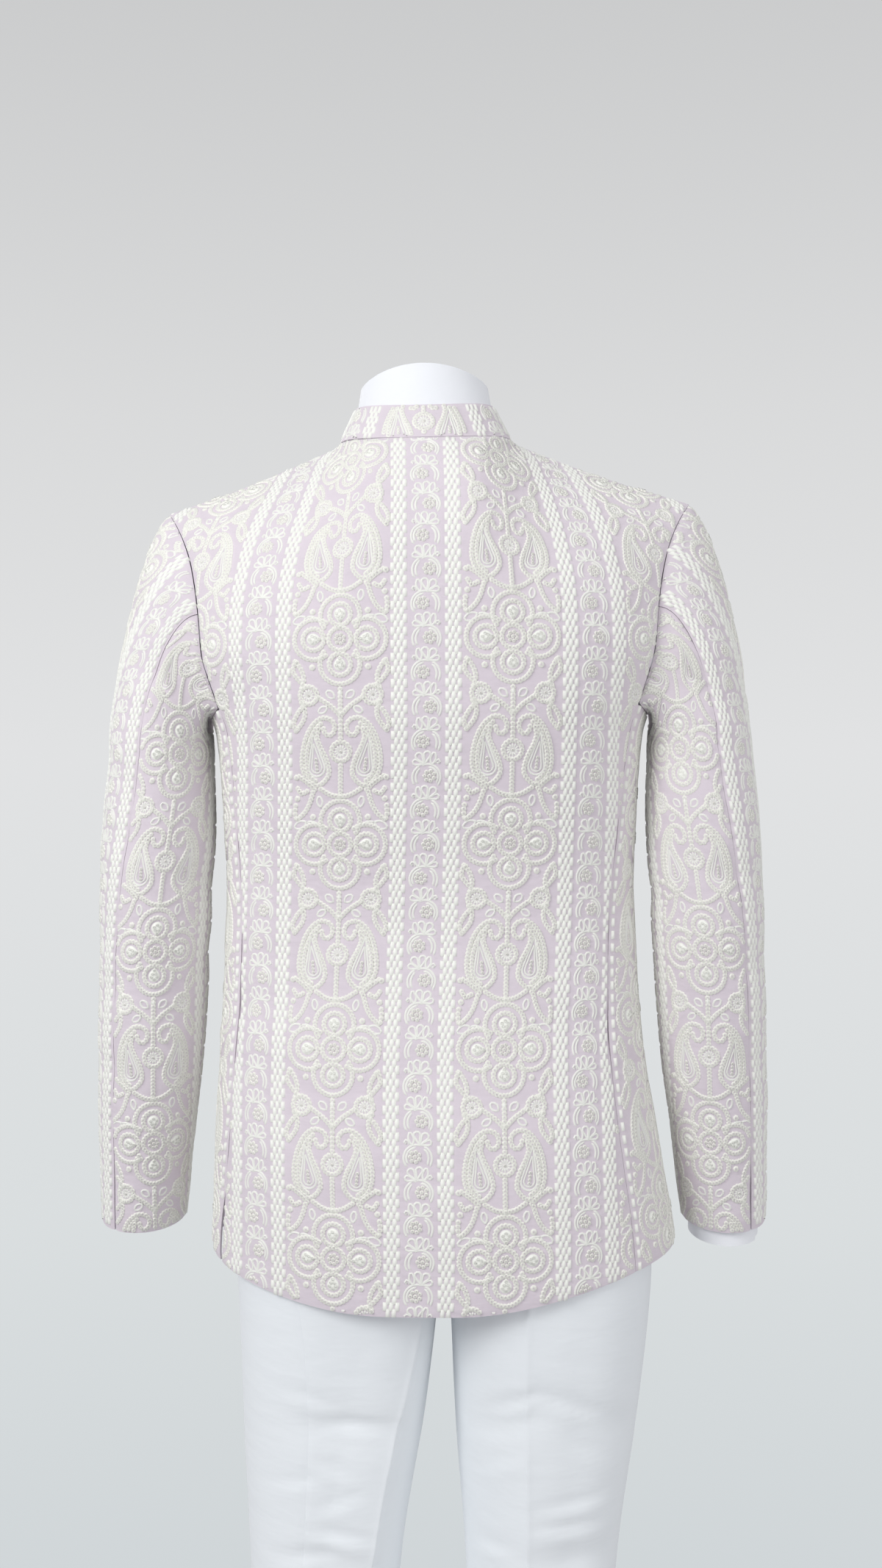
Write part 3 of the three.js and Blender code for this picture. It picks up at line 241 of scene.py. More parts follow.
@dataclass
class Chart:
    """A piece of cloth: its flat places, and where they are on the worn form.

    Grids run upwards by row, and each row from one side edge to the other.
    """

    shares: Array
    left: Array
    right: Array
    up: Array
    points: Array
    normals: Array = field(init=False)
    handed: int = field(init=False, default=1)
    search_rounds: int = 9

    def __post_init__(self) -> None:
        """Works out the outward normals."""
        self.normals = self.facing(self.points)

    @property
    def across(self) -> Array:
        """The flat place of each column, row by row."""
        return self.left[:, None] + self.shares[None, :] * (self.right - self.left)[:, None]

    def facing(self, points: Array) -> Array:
        """Returns the normals of the grid of points, as its rows and columns turn."""
        along = np.gradient(points, axis=1)
        climb = np.gradient(points, axis=0)
        normals = np.cross(along, climb)
        return normals / np.maximum(np.linalg.norm(normals, axis=-1, keepdims=True), 1e-9)

    def face_out(self, x: float, y: float) -> Chart:
        """Turns the normals away from an upright line inside the worn form.

        Args:
            x: where the line stands across.
            y: where it stands from the front to the back.

        Returns:
            This chart.
        """
        row, column = self.left.size // 2, self.shares.size // 2
        away = self.points[row, column, :2] - np.array([x, y])
        if np.dot(self.normals[row, column, :2], away) < 0:
            self.normals = -self.normals
            self.handed = -1
        return self

    def lifted(self, lift: Array) -> None:
        """Moves the cloth out along its normals by a grid of distances, and faces it anew."""
        self.points = self.points + self.normals * lift[..., None]
        self.normals = self.facing(self.points) * self.handed

    def eased(self, share: Array, rounds: int) -> None:
        """Softens a sharp bend by moving points towards the middle of their row's neighbours.

        Args:
            share: how much each point takes part, from 0 to 1.
            rounds: how often.
        """
        weight = 0.5 * share[:, 1:-1, None]
        for _ in range(rounds):
            middle = (self.points[:, :-2] + self.points[:, 2:]) / 2
            self.points[:, 1:-1] += weight * (middle - self.points[:, 1:-1])
        self.normals = self.facing(self.points) * self.handed

    def find(self, flat: Array) -> tuple[Array, Array, Array]:
        """Finds flat places on the grid.

        Args:
            flat: places as rows of across and up.

        Returns:
            Each place's row and column as running numbers, and its distance from the nearest edge.
        """
        x, y = flat[:, 0], flat[:, 1]
        rows, columns = self.up.shape
        r = np.interp(y, self.up[:, columns // 2], np.arange(rows))
        left = right = c = np.zeros_like(x)
        for _ in range(self.search_rounds):
            i = np.clip(np.floor(r).astype(int), 0, rows - 2)
            f = r - i
            left, right = mix(self.left[i], self.left[i + 1], f), mix(self.right[i], self.right[i + 1], f)
            share = (x - left) / (right - left)
            c = np.interp(share, self.shares, np.arange(columns))
            j = np.clip(np.floor(c).astype(int), 0, columns - 2)
            g = c - j
            low = mix(self.up[i, j], self.up[i, j + 1], g)
            high = mix(self.up[i + 1, j], self.up[i + 1, j + 1], g)
            r = np.clip(r + (y - mix(low, high, f)) / np.maximum(high - low, 1e-6), -3.0, rows + 2.0)
        bottom = np.interp(c, np.arange(columns), self.up[0])
        top = np.interp(c, np.arange(columns), self.up[-1])
        room = np.minimum(np.minimum(x - left, right - x), np.minimum(y - bottom, top - y))
        return r, c, room

    def lay(self, flat: Array, height: Array) -> Array:
        """Lays flat places on the worn cloth.

        Args:
            flat: places as rows of across and up.
            height: how far each stands off the cloth.

        Returns:
            The points.
        """
        rows, columns = self.up.shape
        r, c, _ = self.find(flat)
        i = np.clip(np.floor(r).astype(int), 0, rows - 2)
        j = np.clip(np.floor(c).astype(int), 0, columns - 2)
        f, g = np.clip(r - i, -0.5, 1.5)[:, None], (c - j)[:, None]
        spot = [
            mix(mix(grid[i, j], grid[i, j + 1], g), mix(grid[i + 1, j], grid[i + 1, j + 1], g), f)
            for grid in (self.points, self.normals)
        ]
        return spot[0] + spot[1] * height[:, None]

    def cut(self) -> tuple[tuple[float, float], float]:
        """Returns the cut piece's width and length in metres, and its area in square metres."""
        size = float(self.right.max() - self.left.min()) * MM, float(self.up.max() - self.up.min()) * MM
        width, height = np.diff(self.across, axis=1), np.diff(self.up, axis=0)
        cells = 0.25 * (width[1:] + width[:-1]) * (height[:, 1:] + height[:, :-1])
        return size, min(float(cells.sum()) * MM**2, size[0] * size[1])


def make_mesh(
    name: str,
    points: Array,
    faces: Array,
    places: Array | None = None,
    flat: Array | None = None,
) -> Object:
    """Makes an object from arrays.

    Args:
        name: the object's name.
        points: points in millimetres.
        faces: rows of three or four point numbers.
        places: each face's material place.
        flat: each point's flat place in millimetres, kept as the UV map.

    Returns:
        The object, linked to the scene.
    """
    mesh = bpy.data.meshes.new(name)
    count, corners = faces.shape
    mesh.vertices.add(len(points))
    mesh.vertices.foreach_set("co", (points * MM).astype(np.float32).ravel())
    mesh.loops.add(faces.size)
    mesh.loops.foreach_set("vertex_index", faces.astype(np.int32).ravel())
    mesh.polygons.add(count)
    mesh.polygons.foreach_set("loop_start", np.arange(0, faces.size, corners, dtype=np.int32))
    mesh.polygons.foreach_set("use_smooth", np.full(count, True))
    if places is not None:
        mesh.polygons.foreach_set("material_index", places.astype(np.int32))
    if flat is not None:
        layer = mesh.uv_layers.new(name="flat")
        layer.data.foreach_set("uv", (flat[faces.ravel()] * MM).astype(np.float32).ravel())
    mesh.update()
    mesh.validate()
    piece = bpy.data.objects.new(name, mesh)
    bpy.context.scene.collection.objects.link(piece)
    return piece


def ring_faces(count: int, rings: int) -> Array:
    """Returns the faces that join each ring of so many points to the next ring."""
    k = np.arange(count)
    after = (k + 1) % count
    band = np.stack([k, after, count + after, count + k], -1)
    return np.concatenate([band + ring * count for ring in range(rings - 1)])


def cloth_shell(name: str, chart: Chart, thickness: float) -> Object:
    """Makes a thin shell of cloth on a chart, its face in the first material and back in the second.

    Args:
        name: the piece's name.
        chart: the cloth's flat and worn places.
        thickness: the cloth's thickness.

    Returns:
        The object.
    """
    rows, columns = chart.up.shape
    outer = chart.points.reshape(-1, 3)
    inner = (chart.points - chart.normals * thickness).reshape(-1, 3)
    grid = np.arange(rows * columns).reshape(rows, columns)
    quads = np.stack([grid[:-1, :-1], grid[:-1, 1:], grid[1:, 1:], grid[1:, :-1]], -1).reshape(-1, 4)
    rim = np.concatenate([grid[0, :], grid[1:, -1], grid[-1, -2::-1], grid[-2:0:-1, 0]])
    total = rows * columns
    outer_rim = np.arange(2 * total, 2 * total + rim.size)
    inner_rim = outer_rim + rim.size
    band = np.stack([outer_rim, inner_rim, np.roll(inner_rim, -1), np.roll(outer_rim, -1)], -1)
    faces = np.concatenate([quads, quads[:, ::-1] + total, band])
    if chart.handed < 0:
        faces = faces[:, ::-1]
    points = np.concatenate([outer, inner, outer[rim], inner[rim]])
    places = np.concatenate([np.zeros(len(quads)), np.ones(len(quads)), np.zeros(len(band))])
    spots = np.stack([chart.across, chart.up], -1).reshape(-1, 2)
    flat = np.concatenate([spots, spots, spots[rim], spots[rim]])
    return make_mesh(name, points, faces, places, flat)


@dataclass
class BodyForm:
    """The jacket's body as level rings, and how flat cloth lies on it."""

    rings: Table = Table.of(
        "level half_width back front back_square front_square",
        (-760, 213, 113, -137, 2.35, 2.25), (-700, 207, 115, -136, 2.35, 2.25),
        (-640, 201, 113, -134, 2.4, 2.25), (-560, 193, 102, -129, 2.45, 2.25),
        (-480, 189, 89, -124, 2.5, 2.25), (-400, 187, 86, -123, 2.5, 2.25),
        (-330, 190, 95, -127, 2.5, 2.25), (-262, 195, 107, -129, 2.5, 2.25),
        (-238, 203, 110, -128, 2.5, 2.25), (-190, 222, 112, -125, 2.5, 2.25),
    )
    back_width: Table = Table.of(
        "level width",
        (-760, 197), (-700, 192), (-614, 181), (-505, 172), (-430, 172), (-350, 181), (-300, 188),
        (-262, 195), (-238, 202), (-215, 209), (-190, 215), (-140, 221), (-95, 228), (-50, 238), (0, 250),
    )
    side_width: Table = Table.of(
        "level width",
        (-760, 118), (-700, 112), (-614, 98), (-505, 86), (-430, 84), (-350, 91), (-300, 97), (-262, 100),
        (-238, 98),
    )
    front_armhole: Table = Table.of(
        "level width",
        (-238, 236), (-215, 219), (-190, 209), (-140, 204), (-95, 209), (-50, 226), (0, 250),
    )
    slide: Table = Table.of(
        "level by",
        (-760, 21), (-700, 17.5), (-614, 12.5), (-530, 8.5), (-430, 4.5), (-330, 1.5), (-262, 0), (-190, 0),
    )
    sway: Table = Table.of(
        "level by",
        (80, 4), (30, 3), (-60, 0), (-530, 0), (-640, -5), (-700, -9), (-760, -11), (-850, -8), (-1010, 0),
        (-1500, 12),
    )
    middle: float = -4
    hem: float = -760
    hem_rise: Triple = (0, 36, 22)
    blade: float = -190
    underarm: float = -238
    underarm_dip: float = 8
    shoulder_slope: float = 0.011
    neck_reach: float = 82
    neck_corner: float = 104
    neck_ease: float = 900
    row_steps: int = 481
    back_falls: Triple = (52, 30, 28)
    front_falls: Triple = (74, 42, 40)
    fall_run: float = 150
    climb: float = 0.42
    bend: float = 0.34
    shoulder_point: Triple = (242, -7, -50)
    shoulder_sag: float = 3
    front_lap: float = 82 * math.sin(math.radians(18))
    kept: dict[float, tuple[Array, Array]] = field(default_factory=dict)

    def half_ring(self, level: float) -> tuple[Array, Array]:
        """Returns the ring's points at a level from centre back to centre front, and their distances."""
        if level in self.kept:
            return self.kept[level]
        turn = np.linspace(0, math.pi, 121)
        behind = turn < math.pi / 2
        size = {name: float(self.rings.read(name, level)) for name in self.rings.names[1:]}
        power = 2 / np.where(behind, size["back_square"], size["front_square"])
        reach = np.where(behind, size["back"], size["front"]) - self.middle
        x = size["half_width"] * np.abs(np.sin(turn)) ** power
        y = self.middle + reach * np.abs(np.cos(turn)) ** power
        points = np.stack([x, y], -1)
        self.kept[level] = points, lengths(points)
        return self.kept[level]

    def half_girth(self, level: float) -> float:
        """Returns the distance from centre back to centre front at a level."""
        return float(self.half_ring(level)[1][-1])

    def height_of(self, level: float, around: Array) -> Array:
        """Returns the real height of a level where the hem climbs, from 0 at the back to 1 in front."""
        back, side, front = self.hem_rise
        rise = np.where(
            around < 0.5,
            mix(back, side, smooth(around, 0.06, 0.5)),
            mix(side, front, smooth(around, 0.5, 0.85)),
        )
        return level + rise * smooth(-level, -self.blade, -self.hem)

    def ring(self, level: float, distance: Array, hand: int) -> Array:
        """Returns the ring's points at distances from centre back, slid round as the cloth hangs."""
        points, along = self.half_ring(level)
        girth = along[-1]
        place = distance + hand * self.slide.at(level)
        far = np.abs(place) > girth
        where = np.where(far, 2 * girth - np.abs(place), np.abs(place))
        around = np.abs(distance) / girth
        x = np.where((place < 0) != far, -1, 1) * np.interp(where, along, points[:, 0])
        z = self.height_of(level, np.where(around > 1, 2 - around, around))
        return np.stack([x, np.interp(where, along, points[:, 1]), z], -1)

    def top_edge(self, distance: Array, behind: bool) -> Array:
        """Returns the top of a panel at flat distances from its centre: the neck, then the shoulder."""
        turn = np.arcsin(np.clip(distance / self.neck_reach, 0, 1))
        neck = NECK_SEAM.point(turn if behind else math.pi - turn)
        end = NECK_SEAM.point(np.array(math.pi / 2))
        share = (distance - self.neck_reach) / (self.back_width.at(0) - self.neck_reach)
        shoulder = mix(end, np.array(self.shoulder_point, float), share[..., None])
        shoulder[..., 2] -= self.shoulder_sag * np.sin(math.pi * np.clip(share, 0, 1))
        return np.where((distance <= self.neck_reach)[..., None], neck, shoulder)

    def body(self, across: Array, level: float, behind: bool, hand: int) -> Array:
        """Returns a row of the body panels.

        Args:
            across: flat distances from centre back or centre front.
            level: the row's level, which runs to 0 at the neck and shoulder seams.
            behind: whether it is the back.
            hand: the side's hand.

        Returns:
            The points.
        """
        distance = np.abs(across)
        if level <= self.blade:
            return self.ring(level, across if behind else self.half_girth(level) - across, hand)
        base = self.ring(self.blade, distance if behind else self.half_girth(self.blade) - distance, hand)
        top = self.top_edge(distance, behind)
        reach = np.linalg.norm(top - base, axis=-1, keepdims=True)
        centre, neck, shoulder = self.back_falls if behind else self.front_falls
        near = mix(centre, neck, smooth(distance, 0, self.neck_reach))
        outer = mix(neck, shoulder, (distance - self.neck_reach) / self.fall_run)
        fall = np.radians(np.where(distance < self.neck_reach, near, outer))
        out = np.stack([0 * fall, (1 if behind else -1) * np.cos(fall), -np.sin(fall)], -1)
        rise = np.array([0, 0, self.climb]) * reach
        share = (level - self.blade) / -self.blade
        points = bezier([base, base + rise, top + out * self.bend * reach, top], share)
        points[:, 0] *= np.where(across < 0, -1, 1)
        return points

    def row(
        self, left: float, right: float, shares: Array, level: float, behind: bool, hand: int
    ) -> tuple[float, float, Array]:
        """Makes a row of a body panel at even steps of the cloth's own length.

        Args:
            left: where the row starts, from centre back or centre front.
            right: where it ends.
            shares: the columns' shares of the way across.
            level: the row's level.
            behind: whether it is the back.
            hand: the side's hand.

        Returns:
            The row's flat ends and its points.
        """
        if level <= self.blade:
            return left, right, self.body(mix(left, right, shares), level, behind, hand)
        fine = np.linspace(left, right, self.row_steps)
        points = self.body(fine, level, behind, hand)
        gone = lengths(points)
        start = -float(np.interp(0, fine, gone)) if left < 0 else left
        return start, start + float(gone[-1]), read_along(shares * gone[-1], gone, points)

    def front_width(self, level: float) -> float:
        """Returns a front panel's flat width at a level, from centre front."""
        if level > self.underarm:
            return self.front_armhole.at(level)
        widths = self.back_width.read("width", level) + self.side_width.read("width", level)
        return self.half_girth(level) - float(widths)

    def leaned(self, points: Array, is_sleeve: bool = False) -> Array:
        """Moves points as the worn outfit leans; the sleeves keep their place below the shoulders."""
        moved = points.copy()
        drop = self.shoulder_slope * points[..., 0] * smooth(points[..., 2], -420, -80)
        if not is_sleeve:
            moved[..., 0] += self.sway.read("by", points[..., 2])
        moved[..., 2] -= drop
        return moved

    def ease_neck(self, chart: Chart) -> None:
        """Softens the bend that runs down from where the neck seam meets the shoulder seam."""
        below_top = chart.up[-1][None, :] - chart.up
        away = np.abs(np.abs(chart.across) - self.neck_corner)
        share = smooth(below_top, 2, 24) * (1 - smooth(away, 24, 60)) * (1 - smooth(below_top, 110, 180))
        step = float((chart.right - chart.left).mean()) / chart.shares.size
        chart.eased(share, round(self.neck_ease / step**2))

    def levels(self, low: float, high: float, pitch: float) -> Array:
        """Returns levels from low to high, closer at both ends."""
        count = max(3, int((high - low) / pitch))
        return low + (high - low) * edged(count, high - low)

    def chart(
        self, rows: list[tuple[float, float, Array]], shares: Array, side: Side, is_sleeve: bool = False
    ) -> Chart:
        """Makes a chart from rows of points made on the left side.

        Args:
            rows: each row's left and right flat places, and its points.
            shares: the columns' shares of the way across.
            side: the side, which turns the piece over where it is the right.
            is_sleeve: whether the piece hangs with the sleeves.

        Returns:
            The chart. Above the blade its flat places climb by the cloth's own length.
        """
        left, right = (np.array([row[k] for row in rows], float) for k in (0, 1))
        points = np.stack([row[2] for row in rows])
        up = points[..., 2].copy()
        turn_in = SleeveForm.top if is_sleeve else self.blade
        above = int(np.argmax(up.mean(axis=1) > turn_in))
        if above > 0:
            climb = lengths(points[above - 1:])
            up[above - 1:] = up[above - 1][None, :] + climb
        return Chart(shares, left, right, up, self.leaned(points * side.flip, is_sleeve))


@dataclass(frozen=True)
class NeckRing:
    """A ring round the neck: its width, the depths of its back and front, and its heights."""

    half_width: float
    back: float
    front: float
    z_back: float
    z_side: float
    z_front: float

    def point(self, turn: Array) -> Array:
        """Returns points for turns from 0 at centre back to a half turn at centre front."""
        c = np.cos(turn)
        depth = np.where(c > 0, self.back, self.front)
        height = np.where(c > 0, self.z_back, self.z_front)
        middle = (self.back + self.front) / 2
        y = middle + (depth - middle) * np.abs(c)
        return np.stack([self.half_width * np.sin(turn), y, self.z_side + (height - self.z_side) * c * c], -1)

    def both_sides(self, turn: Array) -> Array:
        """Returns points for turns to either side of centre back."""
        points = self.point(np.abs(turn))
        points[..., 0] *= np.where(turn < 0, -1, 1)
        return points


NECK_SEAM = NeckRing(80, 66, -74, 0, 9, -62)
COLLAR_TOP = NeckRing(65, 46, -72, 34, 43, -26)
SHIRT_COLLAR_TOP = NeckRing(60, 37, -81, 74, 63, 25)


@dataclass
class SleeveForm:
    """The two-piece sleeve: level rings below the underarm, joined to the armhole by a curved cap."""

    body: BodyForm
    top: float = -275.0
    hem: float = -712
    cap: float = 0.3
    cuff_drop: float = 5
    middle: tuple[float, float] = (255, 3)
    wrist: tuple[float, float] = (272, -24)
    hind_level: float = -152
    fore_level: float = -190
    under_level: float = -232
    peak_level: float = -2
    peak_across: float = 250
    cap_leans: tuple[float, float] = (0.75, 0.28)
    cap_bends: tuple[float, float] = (0.105, 0.36)
    cap_rows: int = 34
    tube_rows: tuple[int, float] = (70, 440)
    upper_grid: tuple[int, float] = (34, 200)
    under_grid: tuple[int, float] = (24, 140)
    rings: Table = Table.of(
        "level x y half_width half_depth",
        (-275, 248.5, 2, 47, 60), (-342, 250.5, 4, 50.5, 59), (-420, 254, 5, 50.5, 57),
        (-553, 260.5, -3, 47.5, 52), (-600, 264.5, -8, 45, 49), (-660, 269, -17, 41.5, 46),
        (-712, 273, -26, 38.5, 43),
    )
    seams: Table = Table.of(
        "along hind fore",
        (0.3, 100, -64), (0.6, 122, -60), (1, 121, -62),
    )

    def ring(self, angle: Array, level: float, inset: float = 0) -> Array:
        """Returns points of a level ring, at degrees round from the underarm towards the back."""
        x, y, w, d = (float(self.rings.read(name, level)) for name in self.rings.names[1:])
        c, s = np.cos(np.radians(angle)), np.sin(np.radians(angle))
        drop = self.cuff_drop * s * smooth(-level, 600, 712)
        return np.stack([x - (w - inset) * c, y + (d - inset) * s, level - drop], -1)

    def level_of(self, along: float) -> float:
        """Returns the level of a row below the cap."""
        return float(mix(self.top, self.hem, (along - self.cap) / (1 - self.cap)))

    def armhole(self, is_upper: bool) -> Array:
        """Returns the points where a sleeve piece meets the body, from its hind seam round."""
        body = self.body

        def edge(level: float, behind: bool) -> Array:
            """Returns the point of the body's edge at a level."""
            width = body.back_width.at(level) if behind else body.front_width(level)
            return body.body(np.array([width + SEAM]), level, behind, 1)[0]

        if is_upper:
            up = [edge(level, True) for level in np.linspace(self.hind_level, self.peak_level, 15)]
            down = [edge(level, False) for level in np.linspace(self.peak_level, self.fore_level, 19)]
            peak = body.body(np.array([self.peak_across + SEAM]), 0, True, 1)[0]
            return np.array([*up, peak, *down])
        hind = [edge(level, True) for level in np.linspace(self.hind_level, self.under_level, 8)]
        fore = [edge(level, False) for level in np.linspace(self.under_level, self.fore_level, 5)]
        under = []
        for share in np.linspace(0.01, 0.99, 9):
            level = body.underarm - body.underarm_dip * math.sin(math.pi * share) + SEAM
            widths = [table.at(level) for table in (body.back_width, body.side_width)]
            under.append(body.ring(level, np.array([widths[0] + share * widths[1]]), 1)[0])
        return np.array([*hind, *under, *fore])

    def piece(self, is_upper: bool, side: Side) -> Chart:
        """Makes the chart of one of the sleeve's two pieces; flat places count from the hind seam."""
        corners = self.armhole(is_upper)
        gone = lengths(corners)
        gone /= gone[-1]
        shares = edged(*(self.upper_grid if is_upper else self.under_grid))
        corners = read_along(shares, gone, corners)
        rows = []
        cap = np.linspace(0, self.cap, self.cap_rows)[:-1]
        for along in np.concatenate([cap, self.cap + (1 - self.cap) * edged(*self.tube_rows)]):
            hind, fore = (float(self.seams.read(name, along)) for name in ("hind", "fore"))
            angle = mix(hind, 360 + fore if is_upper else fore, shares)
            if along >= self.cap:
                row = self.ring(angle, self.level_of(along))
            else:
                row = self.crown(corners, angle, along)
            rows.append((0.0, float(lengths(row)[-1]), row))
        rows.reverse()
        return self.body.chart(rows, shares, side, True)

    def crown(self, corners: Array, angle: Array, along: float) -> Array:
        """Returns a row of the cap between the armhole and the first level ring."""
        end = self.ring(angle, self.top)
        reach = np.linalg.norm(corners - end, axis=-1, keepdims=True)
        lean = np.cos(np.radians(angle))
        tilt = lean * np.where(lean > 0, *self.cap_leans)
        out = np.stack([np.ones_like(lean), 0 * lean, tilt], -1)
        out /= np.linalg.norm(out, axis=-1, keepdims=True)
        first = corners + out * mix(*self.cap_bends, (1 + lean) / 2)[:, None] * reach
        return bezier([corners, first, end + np.array([0, 0, 0.3]) * reach, end], along / self.cap)


@dataclass
class TrouserForm:
    """The trousers: the hips as rings inside the jacket's, then a squared ring for each leg."""

    body: BodyForm
    hips: Table = Table.of(
        "level inset",
        (-448, 7.6), (-490, 7.6), (-560, 8.5), (-640, 11), (-712, 16),
    )
    leg: Table = Table.of(
        "level inner outer back front inner_square crease",
        (-712, 0.2, 191, 97, -106, 3.6, 0), (-760, 4, 190, 93, -100, 3.1, 4),
        (-884, 14, 181, 78, -86, 2.5, 8), (-1000, 28, 170, 70, -74, 2.3, 10),
        (-1120, 36, 163, 68, -68, 2.2, 11), (-1300, 39, 158, 70, -66, 2.2, 12),
        (-1500, 40, 154, 74, -66, 2.2, 13),
    )
    outer_square: float = 2.3
    middle: float = -3
    leg_middle: float = 97
    seat: float = -598
    crotch: float = -712
    crotch_depth: float = -8
    hem: float = -1500
    hem_back_drop: float = 9
    crease_reach: float = 0.16
    press_edge: float = 1.1
    around: float = 270
    crease_share: float = 0.55
    row_bands: tuple[tuple[float, float, int], ...] = (
        (-712, -486.3, 12), (-760, -712, 6), (-1010, -760, 51), (-1100, -1010, 9), (-1500, -1100, 22),
    )
    kept: dict[tuple[str, float, bool], tuple[Array, Array]] = field(default_factory=dict)

    def lines(self, side: Side) -> Table:
        """Returns where a leg's seams and creases run: 0 inside, 0.5 back, 1 side, 1.5 front."""
        if side is Side.LEFT:
            rows = (
                (-448, 0, 1, 0.62, 1.4), (-600, 0, 0.86, 0.5, 1.38), (-712, 0, 0.66, 0.29, 1.34),
                (-764, -0.02, 0.6, 0.25, 1.32), (-948, -0.07, 0.565, 0.31, 1.31),
                (-1500, -0.08, 0.66, 0.36, 1.34),
            )
        else:
            rows = (
                (-448, 0, 1, 0.62, 1.42), (-600, 0, 0.98, 0.56, 1.44), (-764, 0, 0.95, 0.44, 1.46),
                (-948, -0.02, 0.93, 0.437, 1.46), (-1500, -0.03, 0.94, 0.46, 1.47),
            )
        return Table.of("level inseam side back_crease front_crease", *rows)

    def outline(self, kind: str, level: float, behind: bool) -> tuple[Array, Array]:
        """Returns half of an outline from the inside leg to the side, and the distances along it."""
        key = (kind, level, behind)
        if key not in self.kept:
            points = self.leg_outline(level, behind) if kind == "leg" else self.seat_outline(level, behind)
            self.kept[key] = points, lengths(points)
        return self.kept[key]

    def leg_outline(self, level: float, behind: bool) -> Array:
        """Returns the half outline of one leg's ring."""
        size = {name: float(self.leg.read(name, min(level, self.crotch))) for name in self.leg.names[1:]}
        reach = size["back" if behind else "front"] - self.middle
        turn = np.linspace(0, math.pi, 91)
        c, s = np.cos(turn), np.sin(turn)
        power = 2 / np.where(c > 0, size["inner_square"], self.outer_square)
        half = (size["outer"] - size["inner"]) / 2
        x = (size["inner"] + size["outer"]) / 2 - np.sign(c) * half * np.abs(c) ** power
        return np.stack([x, self.middle + reach * np.abs(s) ** power], -1)

    def seat_outline(self, level: float, behind: bool) -> Array:
        """Returns the half outline of the hips, with the seat seam's straight line first."""
        inset = self.hips.at(level)
        size = {name: float(self.body.rings.read(name, level)) for name in self.body.rings.names[1:]}
        half_width = size["half_width"] - inset
        depth = size["back"] - inset if behind else size["front"] + inset
        power = 2 / size["back_square" if behind else "front_square"]
        line = np.linspace(self.crotch_depth, depth, 17)
        turn = np.linspace(0, math.pi / 2, 61)[1:]
        reach = (depth - self.body.middle) * np.abs(np.cos(turn)) ** power
        ring = np.stack([half_width * np.sin(turn) ** power, self.body.middle + reach], -1)
        return np.concatenate([np.stack([0 * line, line], -1), ring])

    def on(self, kind: str, level: float, behind: bool, share: Array) -> Array:
        """Returns points at shares of an outline's length."""
        points, along = self.outline(kind, level, behind)
        where = np.clip(share, 0, 1) * along[-1]
        return read_along(where, along, points)

    def seat_start(self, level: float, behind: bool) -> float:
        """Returns where the seat seam cuts the outline, as a share from the inside leg."""
        if level <= self.crotch:
            return 0.0
        along = self.outline("seat", level, behind)[1]
        down = float(np.clip((self.seat - level) / (self.seat - self.crotch), 0, 1))
        return math.sqrt(1 - down**2) * along[16] / along[-1]

    def half_row(self, share: Array, level: float, behind: bool) -> Array:
        """Returns points of the back or front half of a leg."""
        fall = self.hem_back_drop * (1 if behind else -1) * smooth(-level, 1300, 1500)
        leg = self.on("leg", level, behind, share)
        if level <= self.crotch:
            return np.concatenate([leg, (level - fall * np.sin(math.pi * share))[:, None]], -1)
        seat = self.on("seat", level, behind, share)
        weight = float(smooth((self.seat - level) / (self.seat - self.crotch), 0.3, 1))
        start = self.seat_start(level, behind)
        stray = weight * self.on("leg", level, behind, np.array([start]))[0, 0]
        x = mix(seat[:, 0], leg[:, 0], weight) - stray * (1 - smooth(share, start, start + 0.3))
        return np.stack([x, mix(seat[:, 1], leg[:, 1], weight), np.full_like(x, level)], -1)

    def row(self, place: Array, level: float) -> Array:
        """Returns points of a leg at places round it."""
        turn = np.mod(place, 2)
        behind = turn <= 1
        share = np.where(behind, turn, 2 - turn)
        back, front = (self.half_row(share, level, half) for half in (True, False))
        return np.where(behind[:, None], back, front)

    def panel(self, side: Side, behind: bool, folds: Sequence[Fold]) -> Chart:
        """Makes the chart of a leg panel from its inside edge over the pressed crease to the side seam.

        Args:
            side: which leg.
            behind: whether it is the back panel.
            folds: creases, across as places round the leg times its half girth.

        Returns:
            The chart, pressed and creased.
        """
        lines = self.lines(side)
        middle = self.crease_share
        half = np.unique(np.concatenate([np.linspace(0, 1, 17), [0.012, 0.03, 0.965, 0.985]]))
        shares = np.unique(np.concatenate([half * middle, 1 - half * (1 - middle)]))
        bands = [np.linspace(*band) for band in self.row_bands]
        levels = np.unique(np.concatenate([*bands, [self.hem + 2, self.hem + 5]]))
        rows, presses = [], []
        for level in levels:
            inside_share = self.seat_start(level, behind)
            seam = float(lines.read("inseam", level))
            start = inside_share if level > self.crotch else (seam if behind else -seam)
            inside = start if behind else 2 - start
            crease = float(lines.read("back_crease" if behind else "front_crease", level))
            outside = float(lines.read("side", level))
            place = np.where(
                shares <= middle,
                mix(inside, crease, shares / middle),
                mix(crease, outside, (shares - middle) / (1 - middle)),
            )
            rows.append(self.row(place, level))
            height = float(self.leg.read("crease", min(level, self.crotch)))
            away = np.abs(place - crease)
            press = height * np.maximum(0, 1 - away / self.crease_reach)
            press += self.press_edge * np.exp(-((away * self.around / 2.4) ** 2))
            presses.append(press + creased(folds, place * self.around, np.full_like(place, level)))
        points = np.stack(rows)
        across = lengths(points, axis=1)
        up = np.repeat(levels[:, None], shares.size, axis=1)
        chart = Chart(shares, 0 * levels, across[:, -1], up, self.body.leaned(points * side.flip))
        chart.face_out(side.hand * self.leg_middle, self.middle)
        chart.lifted(np.stack(presses))
        return chart


